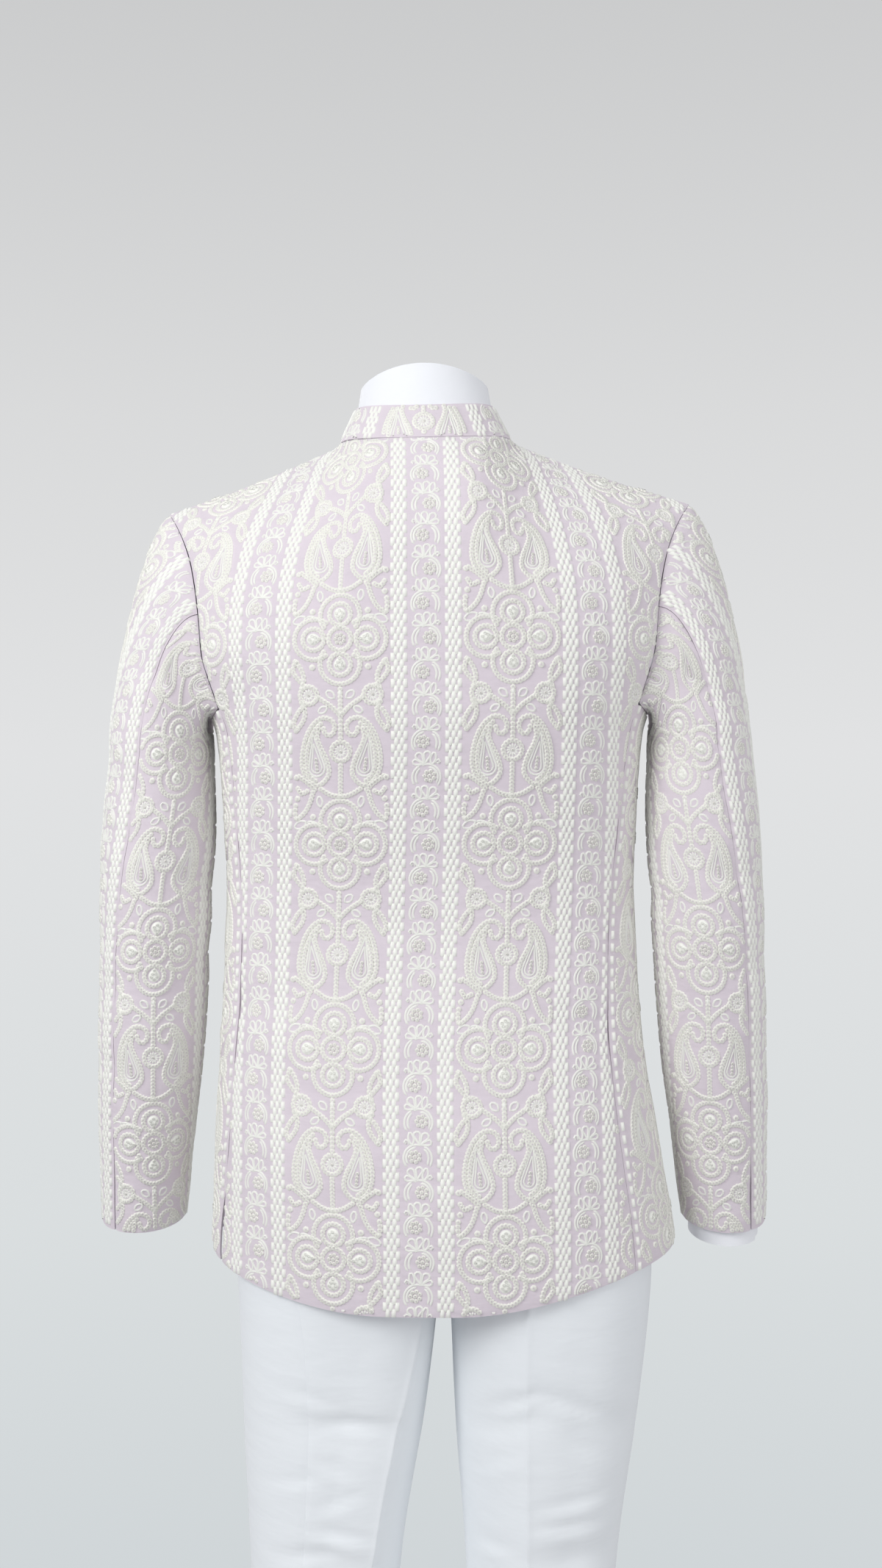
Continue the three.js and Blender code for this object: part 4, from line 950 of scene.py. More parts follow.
@dataclass
class NeckBand:
    """A band that stands round the neck, from its left end round the back to its right end."""

    body: BodyForm
    opening: float
    corner: float
    height: float
    start: float
    radius: float = 72
    inset: float = 0
    rim: float = 0
    top_ring: NeckRing | None = None
    middle: float = -12
    flare: float = 20

    def face(self, turn: Array, h: Array) -> Array:
        """Returns the jacket collar's face for turns from centre back and shares of its height."""
        return mix(NECK_SEAM.both_sides(turn), COLLAR_TOP.both_sides(turn), h[..., None])

    def sunk(self, turn: Array, h: Array, depth: Array) -> Array:
        """Returns the collar's face moved in by a depth."""
        step = 0.01
        du = self.face(turn + step, h) - self.face(turn - step, h)
        dv = self.face(turn, h + step) - self.face(turn, h - step)
        normal = np.cross(du, dv)
        normal /= np.linalg.norm(normal, axis=-1, keepdims=True)
        points = self.face(turn, h)
        out = points - np.array([0, self.middle, 0])
        out[..., 2] = self.flare
        normal *= np.sign(np.sum(normal * out, axis=-1, keepdims=True))
        return points - normal * depth[..., None]

    def surface(self, turn: Array, h: Array) -> Array:
        """Returns the band's own face."""
        if self.top_ring is None:
            return self.face(turn, h)
        inner = np.clip(mix(0.04, 1, h / self.rim), 0.04, 1)
        low = self.sunk(turn, inner, self.inset * (1.2 - 0.2 * inner))
        climb = np.clip((h - self.rim) / (1 - self.rim), 0, 1)
        return mix(low, self.top_ring.both_sides(turn), climb[..., None])

    def chart(self, columns: int, rows: int) -> Chart:
        """Returns the band's chart, its flat places counted from centre back and the neck seam."""
        end = math.pi - self.opening / self.radius
        shares = edged(columns, 2 * end * self.radius, (0, 1, 2.2, 4, 7, 11))
        v = edged(rows - 4, self.height, (0, 0.8, 2))[:, None]
        rows = v.shape[0]
        turn = np.repeat(mix(-end, end, shares)[None, :], rows, axis=0)
        gone = np.clip(1 - ((end - np.abs(turn)) * self.radius) / self.corner, 0, 1)
        top = 1 - (self.corner * (1 - np.sqrt(1 - gone**2))) / self.height
        low = (self.start + 0.6 * np.sin(np.abs(turn)) ** 6) / self.height
        h = mix(low, top, v)
        points = self.body.leaned(self.surface(turn, h))
        sides = np.full(rows, end * self.radius)
        chart = Chart(shares, -sides, sides, h * self.height, points)
        return chart.face_out(0, self.middle)


class NodeBench:
    """Lays shader nodes in a tree with short calls."""

    def __init__(self, tree: NodeTree) -> None:
        """Starts on a tree."""
        self.tree = tree

    def add(self, kind: str, **settings: object) -> Node:
        """Adds a node; a setting is one of its properties, or an input named or numbered with in_.

        Args:
            kind: the node's type, without its prefix if it is a shader node.
            settings: values for properties, and for inputs as in_NAME or in_NUMBER.

        Returns:
            The node.
        """
        node = self.tree.nodes.new(kind if kind.startswith("NodeGroup") else f"ShaderNode{kind}")
        for name, value in settings.items():
            if not name.startswith("in_"):
                setattr(node, name, value)
                continue
            key = name[3:]
            socket = node.inputs[int(key)] if key.isdigit() else node.inputs[key.replace("_", " ")]
            if isinstance(value, NodeSocket):
                self.tree.links.new(value, socket)
            else:
                socket.default_value = value
        return node

    def math(self, operation: str, *values: object) -> NodeSocket:
        """Returns the output of a Math node on numbers or sockets."""
        settings = {f"in_{i}": value for i, value in enumerate(values)}
        return self.add("Math", operation=operation, **settings).outputs[0]

    def bump(self, strength: float, deep: float, height: NodeSocket) -> NodeSocket:
        """Returns the normal of a relief that is so many millimetres deep."""
        return self.add("Bump", in_Strength=strength, in_Distance=deep * MM, in_Height=height).outputs[0]

    def blend(self, share: object, first: object, second: object) -> NodeSocket:
        """Returns a colour mixed between two."""
        node = self.add("Mix", data_type="RGBA")
        for index, value in ((0, share), (6, first), (7, second)):
            if isinstance(value, NodeSocket):
                self.tree.links.new(value, node.inputs[index])
            else:
                node.inputs[index].default_value = value
        return node.outputs[2]


def node_group(
    name: str, inputs: Sequence[tuple[str, str]], outputs: Sequence[str]
) -> tuple[NodeTree, NodeBench]:
    """Makes an empty shader node group.

    Args:
        name: the group's name.
        inputs: names and socket kinds.
        outputs: names of its number outputs.

    Returns:
        The group and a bench on it.
    """
    tree = bpy.data.node_groups.new(name, "ShaderNodeTree")
    for label, kind in inputs:
        tree.interface.new_socket(name=label, in_out="INPUT", socket_type=kind)
    for label in outputs:
        tree.interface.new_socket(name=label, in_out="OUTPUT", socket_type="NodeSocketFloat")
    return tree, NodeBench(tree)


def woven_relief() -> NodeTree:
    """Returns the group for plain weave: its height with slubs, and an uneven tone."""
    if "woven_relief" in bpy.data.node_groups:
        return bpy.data.node_groups["woven_relief"]
    inputs = [("Vector", "NodeSocketVector"), ("Pitch", "NodeSocketFloat")]
    tree, bench = node_group("woven_relief", inputs, ["Height", "Tone"])
    source = bench.add("NodeGroupInput")
    parts = bench.add("SeparateXYZ", in_0=source.outputs["Vector"])
    rate = bench.math("DIVIDE", 2 * math.pi / MM, source.outputs["Pitch"])
    warp = bench.math("SINE", bench.math("MULTIPLY", parts.outputs[0], rate))
    weft = bench.math("SINE", bench.math("MULTIPLY", parts.outputs[1], rate))
    weave = bench.math("MULTIPLY_ADD", bench.math("MULTIPLY", warp, weft), 0.5, 0.5)
    stretch = bench.add("Mapping", in_Vector=source.outputs["Vector"], in_Scale=(120, 900, 1))
    slub = bench.add("TexNoise", in_Vector=stretch.outputs[0], in_Scale=1.0, in_Detail=3.0)
    wide = bench.add("TexNoise", in_Vector=source.outputs["Vector"], in_Scale=14.0, in_Detail=4.0)
    height = bench.math("MULTIPLY_ADD", slub.outputs[0], 0.8, weave)
    tone = bench.math("MULTIPLY_ADD", slub.outputs[0], 0.4, bench.math("MULTIPLY", wide.outputs[0], 0.7))
    out = bench.add("NodeGroupOutput")
    tree.links.new(height, out.inputs["Height"])
    tree.links.new(tone, out.inputs["Tone"])
    return tree


def twisted_relief() -> NodeTree:
    """Returns the group for twisted thread: fine strands as height, and a tone along them."""
    if "twisted_relief" in bpy.data.node_groups:
        return bpy.data.node_groups["twisted_relief"]
    inputs = [("Vector", "NodeSocketVector"), ("Strand", "NodeSocketFloat")]
    tree, bench = node_group("twisted_relief", inputs, ["Height", "Tone"])
    source = bench.add("NodeGroupInput")
    rate = bench.math("DIVIDE", 1 / MM, source.outputs["Strand"])
    strands = bench.add("TexNoise", in_Vector=source.outputs["Vector"], in_Scale=rate, in_Detail=3.0)
    wide = bench.add("TexNoise", in_Vector=source.outputs["Vector"], in_Scale=60.0, in_Detail=2.0)
    out = bench.add("NodeGroupOutput")
    tree.links.new(strands.outputs[0], out.inputs["Height"])
    tone = bench.math("MULTIPLY_ADD", strands.outputs[0], 0.5, bench.math("MULTIPLY", wide.outputs[0], 0.5))
    tree.links.new(tone, out.inputs["Tone"])
    return tree


@dataclass(frozen=True)
class ClothFinish:
    """A woven cloth's colours, weave, relief and sheen."""

    name: str
    light: Triple
    shade: Triple
    pitch: float
    relief: float
    roughness: float
    sheen: float
    puckers: float

    def make(self) -> Material:
        """Returns the material."""
        material, bench, shader = blank_material(self.name)
        place = bench.add("UVMap", uv_map="flat").outputs[0]
        weave = bench.add("Group", node_tree=woven_relief(), in_Vector=place, in_Pitch=self.pitch)
        colour = bench.blend(weave.outputs["Tone"], (*self.shade, 1), (*self.light, 1))
        stretch = bench.add("Mapping", in_Vector=place, in_Scale=(26, 60, 1))
        pucker = bench.add("TexNoise", in_Vector=stretch.outputs[0], in_Scale=1.0, in_Detail=2.5)
        soft = bench.bump(1.0, self.puckers, pucker.outputs[0])
        fine = bench.bump(0.8, self.relief, weave.outputs["Height"])
        bench.tree.links.new(soft, fine.node.inputs["Normal"])
        dress(bench, shader, colour, fine, self.roughness, self.sheen)
        return material


@dataclass(frozen=True)
class ThreadFinish:
    """An embroidery thread's colours, strands and gloss, and the painted shade laid into its stitches' low
    places.
    """

    name: str
    light: Triple
    shade: Triple
    # deep is painted shade: the dark colour that the shade layer mixes in, raised to the shade falloff power.
    deep: Triple
    strand: float
    relief: float
    roughness: float
    sheen: float
    shade_falloff: float = 2.2

    def make(self) -> Material:
        """Returns the material."""
        material, bench, shader = blank_material(self.name)
        place = bench.add("TexCoord").outputs["Object"]
        twist = bench.add("Group", node_tree=twisted_relief(), in_Vector=place, in_Strand=self.strand)
        colour = bench.blend(twist.outputs["Tone"], (*self.shade, 1), (*self.light, 1))
        # Paints shade into the colour: link holes and sunk stitch edges darken towards the deep colour.
        depth = bench.add("Attribute", attribute_name=SHADE_LAYER).outputs["Fac"]
        colour = bench.blend(bench.math("POWER", depth, self.shade_falloff), colour, (*self.deep, 1))
        bump = bench.bump(0.7, self.relief, twist.outputs["Height"])
        dress(bench, shader, colour, bump, self.roughness, self.sheen)
        return material


def blank_material(name: str) -> tuple[Material, NodeBench, Node]:
    """Returns a new material, a bench on its nodes, and its Principled shader."""
    material = bpy.data.materials.new(name)
    material.use_nodes = True
    bench = NodeBench(material.node_tree)
    return material, bench, material.node_tree.nodes["Principled BSDF"]


def dress(
    bench: NodeBench,
    shader: Node,
    colour: NodeSocket,
    normal: NodeSocket,
    roughness: float,
    sheen: float,
) -> None:
    """Joins a colour and a normal to a cloth or thread shader and sets its plain values."""
    bench.tree.links.new(colour, shader.inputs["Base Color"])
    bench.tree.links.new(normal, shader.inputs["Normal"])
    shader.inputs["Roughness"].default_value = roughness
    shader.inputs["Specular IOR Level"].default_value = 0.3
    shader.inputs["Sheen Weight"].default_value = sheen
    shader.inputs["Sheen Roughness"].default_value = 0.5


def made(finish: ClothFinish | ThreadFinish) -> Material:
    """Returns a field that holds a finish's material, made together with its owner."""
    return field(default_factory=finish.make)


@dataclass
class Finishes:
    """Every finish of the outfit, made once."""

    ground: Material = made(
        ClothFinish("lilac_ground", (0.73, 0.665, 0.72), (0.65, 0.585, 0.645), 0.9, 0.12, 0.72, 0.2, 2.0)
    )
    lining: Material = made(
        ClothFinish("lilac_lining", (0.66, 0.58, 0.68), (0.58, 0.5, 0.61), 0.5, 0.04, 0.45, 0.1, 1.2)
    )
    shirting: Material = made(
        ClothFinish("white_shirting", (0.88, 0.9, 0.93), (0.82, 0.84, 0.88), 0.5, 0.05, 0.7, 0.15, 0.6)
    )
    suiting: Material = made(
        ClothFinish("white_suiting", (0.855, 0.89, 0.915), (0.815, 0.855, 0.885), 0.8, 0.06, 0.75, 0.25, 0.9)
    )
    # The third colour of each thread is painted shade for its stitch holes and sunk edges.
    chain: Material = made(
        ThreadFinish(
            "ivory_chain_thread", (0.95, 0.955, 0.89), (0.88, 0.885, 0.82),
            (0.58, 0.53, 0.53), 0.45, 0.25, 0.55, 0.2,
        )
    )
    cord: Material = made(
        ThreadFinish(
            "white_cord_thread", (0.89, 0.905, 0.85), (0.84, 0.85, 0.8),
            (0.55, 0.48, 0.53), 0.6, 0.15, 0.45, 0.15,
        )
    )
    # The buttons have no shade layer, so their third colour, painted shade, is never drawn.
    button: Material = made(
        ThreadFinish(
            "ivory_button", (0.86, 0.81, 0.7), (0.78, 0.72, 0.6), (0.7, 0.64, 0.52), 2.5, 0.04, 0.28, 0.0
        )
    )


def arc(x: float, y: float, radius: float, start: float, end: float) -> Array:
    """Returns an arc's points, with its angles in degrees."""
    turn = np.radians(np.linspace(start, end, max(6, int(abs(end - start) / 6))))
    return np.stack([x + radius * np.cos(turn), y + radius * np.sin(turn)], -1)


def teardrop(tip: tuple[float, float], middle: tuple[float, float], radius: float) -> Array:
    """Returns a closed drop's outline from its tip round a round end."""
    tip_at, centre = np.array(tip, float), np.array(middle, float)
    away = centre - tip_at
    far = float(np.linalg.norm(away))
    heading = math.degrees(math.atan2(away[1], away[0]))
    lean = 90 - math.degrees(math.asin(min(0.95, radius / far)))
    bulb = arc(*centre, radius, heading - 180 + lean, heading + 180 - lean)
    return np.concatenate([tip_at[None], bulb, tip_at[None]])


def leaf(x: float, y: float, length: float, width: float, angle: float) -> Array:
    """Returns a pointed leaf's closed outline about its middle."""
    t = np.linspace(0, 1, 14)
    half = np.stack([length * (t - 0.5), width / 2 * np.sin(math.pi * t) ** 0.8], -1)
    outline = np.concatenate([half, half[::-1] * np.array([1, -1])])
    return turned(outline, angle) + np.array([x, y])


def spiral(x: float, y: float, outer: float, inner: float, start: float, sweep: float) -> Array:
    """Returns a spiral's points, inwards from its start angle in degrees."""
    t = np.linspace(0, 1, max(8, int(abs(sweep) / 15)))
    turn = np.radians(start + sweep * t)
    radius = mix(outer, inner, t)
    return np.stack([x + radius * np.cos(turn), y + radius * np.sin(turn)], -1)


def flowing(*points: tuple[float, float]) -> Array:
    """Returns a smooth line through a few points."""
    p = np.array(points, float)
    ends = np.concatenate([[2 * p[0] - p[1]], p, [2 * p[-1] - p[-2]]])
    t = np.linspace(0, 1, 9)[:-1, None]
    pieces = []
    for a, b, c, d in zip(ends[:-3], ends[1:-2], ends[2:-1], ends[3:]):
        cubic = (3 * b - a - 3 * c + d) * t**3 + (2 * a - 5 * b + 4 * c - d) * t**2 + (c - a) * t
        pieces.append(b + 0.5 * cubic)
    return np.concatenate([*pieces, p[-1:]])


def turned(points: Array, angle: float) -> Array:
    """Returns flat points turned about their origin by degrees."""
    c, s = math.cos(math.radians(angle)), math.sin(math.radians(angle))
    return points @ np.array([[c, s], [-s, c]])


def spaced(path: Array, pitch: float) -> Array:
    """Returns points at even steps of about a pitch along a path, both ends included."""
    along = lengths(path)
    count = max(1, round(float(along[-1]) / pitch))
    at = np.linspace(0, along[-1], count + 1)
    return read_along(at, along, path)


@dataclass
class Stitches:
    """Raised stitches in flat places. Each has its own points, and a middle and reach to cut it by."""

    points: list[Array] = field(default_factory=list)
    faces: list[Array] = field(default_factory=list)
    owners: list[Array] = field(default_factory=list)
    threads: list[Array] = field(default_factory=list)
    middles: list[Array] = field(default_factory=list)
    reaches: list[Array] = field(default_factory=list)
    point_count: int = 0
    stitch_count: int = 0
    sunk: float = -0.1
    hole: float = -0.4

    def add(self, points: Array, faces: Array, reach: float, thread: Thread) -> None:
        """Adds stitches of one kind.

        Args:
            points: for each stitch, its points as across, up and height.
            faces: one stitch's faces.
            reach: how far a stitch spreads from its middle.
            thread: the thread it is worked in.
        """
        count, each = points.shape[:2]
        starts = self.point_count + each * np.arange(count)
        self.points.append(points.reshape(-1, 3))
        self.faces.append((faces[None] + starts[:, None, None]).reshape(-1, 3))
        self.owners.append(self.stitch_count + np.repeat(np.arange(count), each))
        self.threads.append(np.full(count * len(faces), thread.value))
        self.middles.append(points[..., :2].mean(axis=1))
        self.reaches.append(np.full(count, reach))
        self.point_count += count * each
        self.stitch_count += count

    def links(self, places: Array, width: float = 4.8, height: float = 1.15) -> None:
        """Adds round links with a hole, one at each place."""
        turn = np.radians(np.arange(6) * 60 + 15)
        ring = np.stack([np.cos(turn), np.sin(turn)], -1) * width / 2
        outer = np.concatenate([ring, np.full((6, 1), self.sunk)], -1)
        crest = np.concatenate([ring * 0.74, np.full((6, 1), height)], -1)
        pattern = np.concatenate([outer, crest, [[0, 0, self.hole]]])
        i, j = np.arange(6), (np.arange(6) + 1) % 6
        corners = ((i, j, j + 6), (i, j + 6, i + 6), (i + 6, j + 6, np.full(6, 12)))
        faces = np.concatenate([np.stack(corner, -1) for corner in corners])
        points = np.repeat(pattern[None], len(places), axis=0)
        points[..., :2] += places[:, None, :]
        self.add(points, faces, width * 0.3, Thread.CHAIN)

    def chain(self, path: Array, pitch: float = 3.2, width: float = 5.3) -> None:
        """Works a row of overlapping links along a path."""
        places = spaced(path, pitch)
        closed = np.linalg.norm(path[0] - path[-1]) < pitch / 2
        self.links(places[:-1] if closed else places, width)

    def cluster(self, x: float, y: float, count: int, radius: float, width: float) -> None:
        """Works a ring of links round a middle one."""
        turn = 2 * math.pi / count * np.arange(count)
        around = np.stack([x + radius * np.cos(turn), y + radius * np.sin(turn)], -1)
        self.links(np.concatenate([around, [[x, y]]]), width)

    def cord(self, path: Array, width: float = 2.3, height: float = 1.1, pitch: float = 2.6) -> None:
        """Lays a smooth cord along a path, as short ridged stretches."""
        places = spaced(path, pitch)
        ahead = np.gradient(places, axis=0)
        closed = np.linalg.norm(path[0] - path[-1]) < pitch / 2
        if closed and np.dot(ahead[0], ahead[-1]) > 0:
            ahead[0] = ahead[-1] = places[1] - places[-2]
        ahead /= np.maximum(np.linalg.norm(ahead, axis=-1, keepdims=True), 1e-6)
        side = np.stack([-ahead[:, 1], ahead[:, 0]], -1) * width / 2
        cut = np.stack([places + side, places, places - side], 1)
        rise = np.array([self.sunk, height, self.sunk])[None, :, None]
        raised = np.concatenate([cut, np.broadcast_to(rise, (*cut.shape[:2], 1))], -1)
        if not closed:
            raised[[0, -1], 1, 2] = self.sunk
        points = np.concatenate([raised[:-1], raised[1:]], axis=1)
        faces = np.array([[0, 1, 4], [0, 4, 3], [1, 2, 5], [1, 5, 4]])
        self.add(points, faces, pitch * 0.5, Thread.CORD)

    def pads(self, places: Array, width: float, length: float, height: float = 1.25) -> None:
        """Works ridged blocks of satin stitch, one at each place."""
        x, y = width / 2, length / 2
        pattern = np.array(
            [
                (-x, -y, self.sunk), (x, -y, self.sunk), (x, y, self.sunk), (-x, y, self.sunk),
                (-0.36 * x, -0.8 * y, height), (0.36 * x, -0.8 * y, height),
                (0.36 * x, 0.8 * y, height), (-0.36 * x, 0.8 * y, height),
            ]
        )
        i, j = np.arange(4), (np.arange(4) + 1) % 4
        faces = np.concatenate(
            [np.stack([i, j, j + 4], -1), np.stack([i, j + 4, i + 4], -1), [[4, 5, 6], [4, 6, 7]]]
        )
        points = np.repeat(pattern[None], len(places), axis=0)
        points[..., :2] += places[:, None, :]
        self.add(points, faces, width * 0.4, Thread.CORD)

    def filled(self, outline: Array, height: float) -> None:
        """Fills a closed outline with domed satin stitch."""
        rim = spaced(np.concatenate([outline, outline[:1]]), 2.2)[:-1]
        after = np.roll(rim, -1, axis=0)
        if np.sum(rim[:, 0] * after[:, 1] - rim[:, 1] * after[:, 0]) < 0:
            rim = rim[::-1]
        middle = rim.mean(axis=0)
        count = len(rim)
        rings = [
            np.concatenate([mix(middle, rim, share), np.full((count, 1), rise)], -1)
            for share, rise in ((1, self.sunk), (0.8, height * 0.75), (0.4, height))
        ]
        points = np.concatenate([*rings, [[*middle, height * 1.04]]])
        i, j = np.arange(count), (np.arange(count) + 1) % count
        faces = [np.stack([i + 2 * count, j + 2 * count, np.full(count, 3 * count)], -1)]
        for k in (0, count):
            faces.append(np.stack([i + k, j + k, j + k + count], -1))
            faces.append(np.stack([i + k, j + k + count, i + k + count], -1))
        self.add(points[None], np.concatenate(faces), 2.0, Thread.CORD)

    def mirrored_chain(self, path: Array, **settings: float) -> None:
        """Works a chain and its mirror image across the column's middle line."""
        for hand in (1, -1):
            self.chain(path * np.array([hand, 1]), **settings)

    def mirrored_cord(self, path: Array, **settings: float) -> None:
        """Lays a cord and its mirror image across the column's middle line."""
        for hand in (1, -1):
            self.cord(path * np.array([hand, 1]), **settings)

    def joined(self) -> tuple[Array, Array, Array, Array, Array, Array]:
        """Returns all the stitches' arrays: points, faces, owners, threads, middles and reaches."""
        groups = (self.points, self.faces, self.owners, self.threads, self.middles, self.reaches)
        return tuple(np.concatenate(group) for group in groups)


@dataclass
class Pattern:
    """The cloth's needlework: paisley columns between stripes of braid and flower chain."""

    period: float = 148
    repeat: float = 177
    braid_width: float = 15
    braid_row: float = 5.5
    gap: float = 2.5
    chain_width: float = 26.5
    chain_units: int = 6
    seed_knots: tuple[tuple[float, float], ...] = (
        (2.8, 0), (0.8, 2.7), (0.8, -2.7), (-1.9, 1.5), (-1.9, -1.5), (-5, 0),
    )
    rosette_down: float = 96.3
    # Stitch height from which no painted shade is laid on the needlework.
    crest: float = 0.7
    margin: float = 0.6
    stretch_limit: float = 1.7
    stretch_slack: float = 0.4

    def column(self) -> Stitches:
        """Returns one repeat of the paisley column, with the flower's middle at its origin."""
        work = Stitches()
        self.flower(work)
        self.branches(work)
        self.paisleys(work)
        self.foot(work)
        return work

    def flower(self, work: Stitches) -> None:
        """Works the four-petalled flower."""
        for angle, far in ((0, 23.2), (90, 21.2), (180, 23.2), (270, 21.8)):
            work.chain(turned(arc(far - 0.6, 0, 17.4, -126, 126), angle))
            work.chain(turned(arc(far, 0, 9.3, -180, 180), angle))
            work.filled(turned(teardrop((far - 8.2, 0), (far + 0.3, 0), 5.6), angle), 1.3)
            work.links(turned(np.array(self.seed_knots) + np.array([far, 0]), angle), 3.6, 1.9)
        work.chain(arc(0, 0, 9.8, 0, 360))
        work.cluster(0, 0, 7, 3.9, 3.9)
        work.links(np.array([(x, y) for x in (-24.3, 24.3) for y in (-24, 24)]), 6.3, 1.3)
        work.mirrored_cord(leaf(36, 17, 12.5, 6.6, -24))
        work.mirrored_cord(flowing((31, 19.3), (24, 20), (17.5, 15)))

    def branches(self, work: Stitches) -> None:
        """Works the forked stem with its star rosettes, chained leaves and small leaves."""
        work.chain(np.array([(0.0, -43), (0, -70)]))
        work.mirrored_chain(flowing((1.5, -64), (8, -57.5), (19, -50)))
        for x in (28, -28):
            self.star(work, x, -47.8, 7.6, 11)
        for points in (
            ((30.5, -40), (36, -35), (41.5, -27), (39.5, -18.5)),
            ((34, -41.5), (32, -33.5), (34, -26), (38, -19.5)),
            ((31, -55.5), (37.5, -62), (42, -71), (40, -78)),
            ((34.5, -54), (31.5, -61), (33, -69), (38.5, -76.5)),
        ):
            work.mirrored_chain(flowing(*points))
        work.mirrored_cord(leaf(8.6, -47.5, 9.5, 6, 42))
        work.mirrored_cord(leaf(15.5, -60.5, 9.5, 5.4, -32))
        work.filled(leaf(0, -46, 6, 3.4, 90), 1.1)

    def star(self, work: Stitches, x: float, y: float, radius: float, petals: int) -> None:
        """Works a daisy rosette: a ring of links, spokes, and a small middle."""
        work.chain(arc(x, y, radius, 0, 360))
        for k in range(petals):
            spoke = turned(np.array([(1.0, 0.0), (radius - 1.4, 0.0)]), 360 / petals * k)
            work.cord(spoke + np.array([x, y]), width=2.2, height=1.0)
        work.links(np.array([[x, y]]), 3.0)

    def paisleys(self, work: Stitches) -> None:
        """Works the mirrored pair of paisleys about the rosette on its stem."""
        back = flowing(
            (22, -125.5), (30, -120), (34.5, -109), (34, -96), (30.5, -83), (24.5, -73), (16.5, -67.5),
            (8.5, -69), (5, -75), (7.5, -81.5), (13, -81.5), (15, -76.5),
        )
        inner = flowing(
            (18.9, -125.2), (14.2, -121.8), (10.2, -114.5), (12.5, -103), (17.8, -92.5), (20.8, -84),
            (19.5, -77),
        )
        lining = flowing(
            (22.5, -121.5), (28, -116), (30.4, -107), (30, -96), (27, -86), (22.8, -77.5), (17.5, -72.2),
        )
        for path in (back, inner, lining):
            work.mirrored_chain(path)
        work.mirrored_cord(teardrop((24.6, -80.5), (21, -110.5), 7.2), width=2.3)
        work.mirrored_cord(teardrop((24.0, -89), (21, -110.2), 4.7), width=1.9)
        work.mirrored_chain(np.array([(22.0, -103.0), (21.0, -112)]), width=3.4)
        self.star(work, 0, -self.rosette_down, 8.2, 12)
        work.chain(np.array([(0.0, -74), (0, -85)]))
        work.chain(np.array([(0.0, -108), (0, -133.5)]))

    def foot(self, work: Stitches) -> None:
        """Works the fork under the paisleys, its leaves, and the side buds."""
        for points in (
            ((0.5, -135.5), (9, -133.5), (17.5, -128.5)),
            ((23, -129), (29.5, -123), (37.5, -117.5)),
            ((24.5, -131.5), (27.5, -141), (32, -149), (38.5, -155)),
            ((40.5, -143), (41, -149), (40, -154)),
            ((30, -130.5), (35, -132.5), (38.5, -128)),
        ):
            work.mirrored_chain(flowing(*points))
        work.mirrored_cord(leaf(18.3, -139.5, 10, 5, 80))
        buds = ((39.8, -118.5), (38.8, -137))
        work.links(np.array([(hand * x, y) for hand in (1, -1) for x, y in buds]), 6, 1.3)

    def chain_unit(self, odd: bool) -> Stitches:
        """Returns one unit of the flower chain: a rosette in a ring, side leaves, a lotus and a curl.

        Args:
            odd: whether its rosette and curl sit to the other side.

        Returns:
            The stitches, with the ring at the origin.
        """
        work = Stitches()
        flip = np.array([-1 if odd else 1, 1])
        work.cluster(-2.9 * flip[0], 0, 7, 4.2, 4.2)
        lines = (
            arc(-1.3, -1, 11.2, 62, 222),
            arc(-1.3, -1, 8.9, 92, 216),
            arc(0.2, -1.5, 11.5, -36, 66),
            arc(-2.4, -1.5, 11.2, -30, 50),
            teardrop((1.2, 10.4), (-0.9, 18.2), 2.9),
            teardrop((1.8, 10.4), (6.2, 16.9), 3.0),
            teardrop((2.2, 10), (9.2, 11.8), 2.3),
            leaf(-6, 15.2, 11, 4.8, 102),
            spiral(-10.2, 12.2, 2.5, 0.9, -60, 430),
        )
        for line in lines:
            work.cord(line * flip, width=2.4, pitch=2.2)
        return work

    def braid(self) -> Stitches:
        """Returns one repeat of the braid: rows of three and two blocks."""
        work = Stitches()
        rows = round(self.repeat / self.braid_row / 2) * 2
        pitch = self.repeat / rows
        places = []
        for row in range(rows):
            spots = (-5.2, 0.0, 5.2) if row % 2 else (-2.6, 2.6)
            places += [(x, -pitch * row) for x in spots]
        work.pads(np.array(places), 4.4, pitch * 1.4)
        return work

    def repeats(self, start: float, step: float, low: float, high: float) -> Array:
        """Returns places that are a step apart, one of them at start, from below low to above high."""
        first, last = math.floor((low - start) / step) - 1, (high - start) / step + 2
        return start + np.arange(first, last) * step

    def lay_on(self, name: str, chart: Chart, first_column: float, flower: float) -> Object:
        """Works the whole pattern over a piece of cloth, cut at its edges.

        Args:
            name: the new object's name.
            chart: the cloth.
            first_column: where a paisley column's middle runs.
            flower: a level of the flowers' middles.

        Returns:
            The needlework as one object.
        """
        low, high = float(chart.up.min()), float(chart.up.max())
        left, right = float(chart.left.min()), float(chart.right.max())
        centres = self.repeats(first_column, self.period, left, right)
        ups = self.repeats(flower, self.repeat, low, high)
        stripes = centres + self.period / 2
        side = self.chain_width / 2 + self.gap + self.braid_width / 2
        unit = self.repeat / self.chain_units
        chain_ups = np.concatenate([ups + k * unit for k in range(0, self.chain_units, 2)])
        jobs = [
            (self.column(), centres, ups),
            (self.braid(), np.concatenate([stripes - side, stripes + side]), ups),
            (self.chain_unit(False), stripes, chain_ups),
            (self.chain_unit(True), stripes, chain_ups + unit),
        ]
        points, faces, threads, heights = [], [], [], []
        count = 0
        for work, xs, ys in jobs:
            flat, tris, owners, kinds, middles, reaches = work.joined()
            near_xs = [x for x in xs if left - self.period < x < right + self.period]
            near_ys = [y for y in ys if low - self.repeat < y < high + self.repeat]
            for x in near_xs:
                for y in near_ys:
                    shift = np.array([x, y])
                    kept = chart.find(middles + shift)[2] > reaches + self.margin
                    if not kept.any():
                        continue
                    laid = np.zeros_like(flat)
                    mine = kept[owners]
                    laid[mine] = chart.lay(flat[mine, :2] + shift, flat[mine, 2])
                    kept[self.stretched(laid, flat, tris, owners)] = False
                    mine = kept[owners]
                    number = np.cumsum(mine) - 1
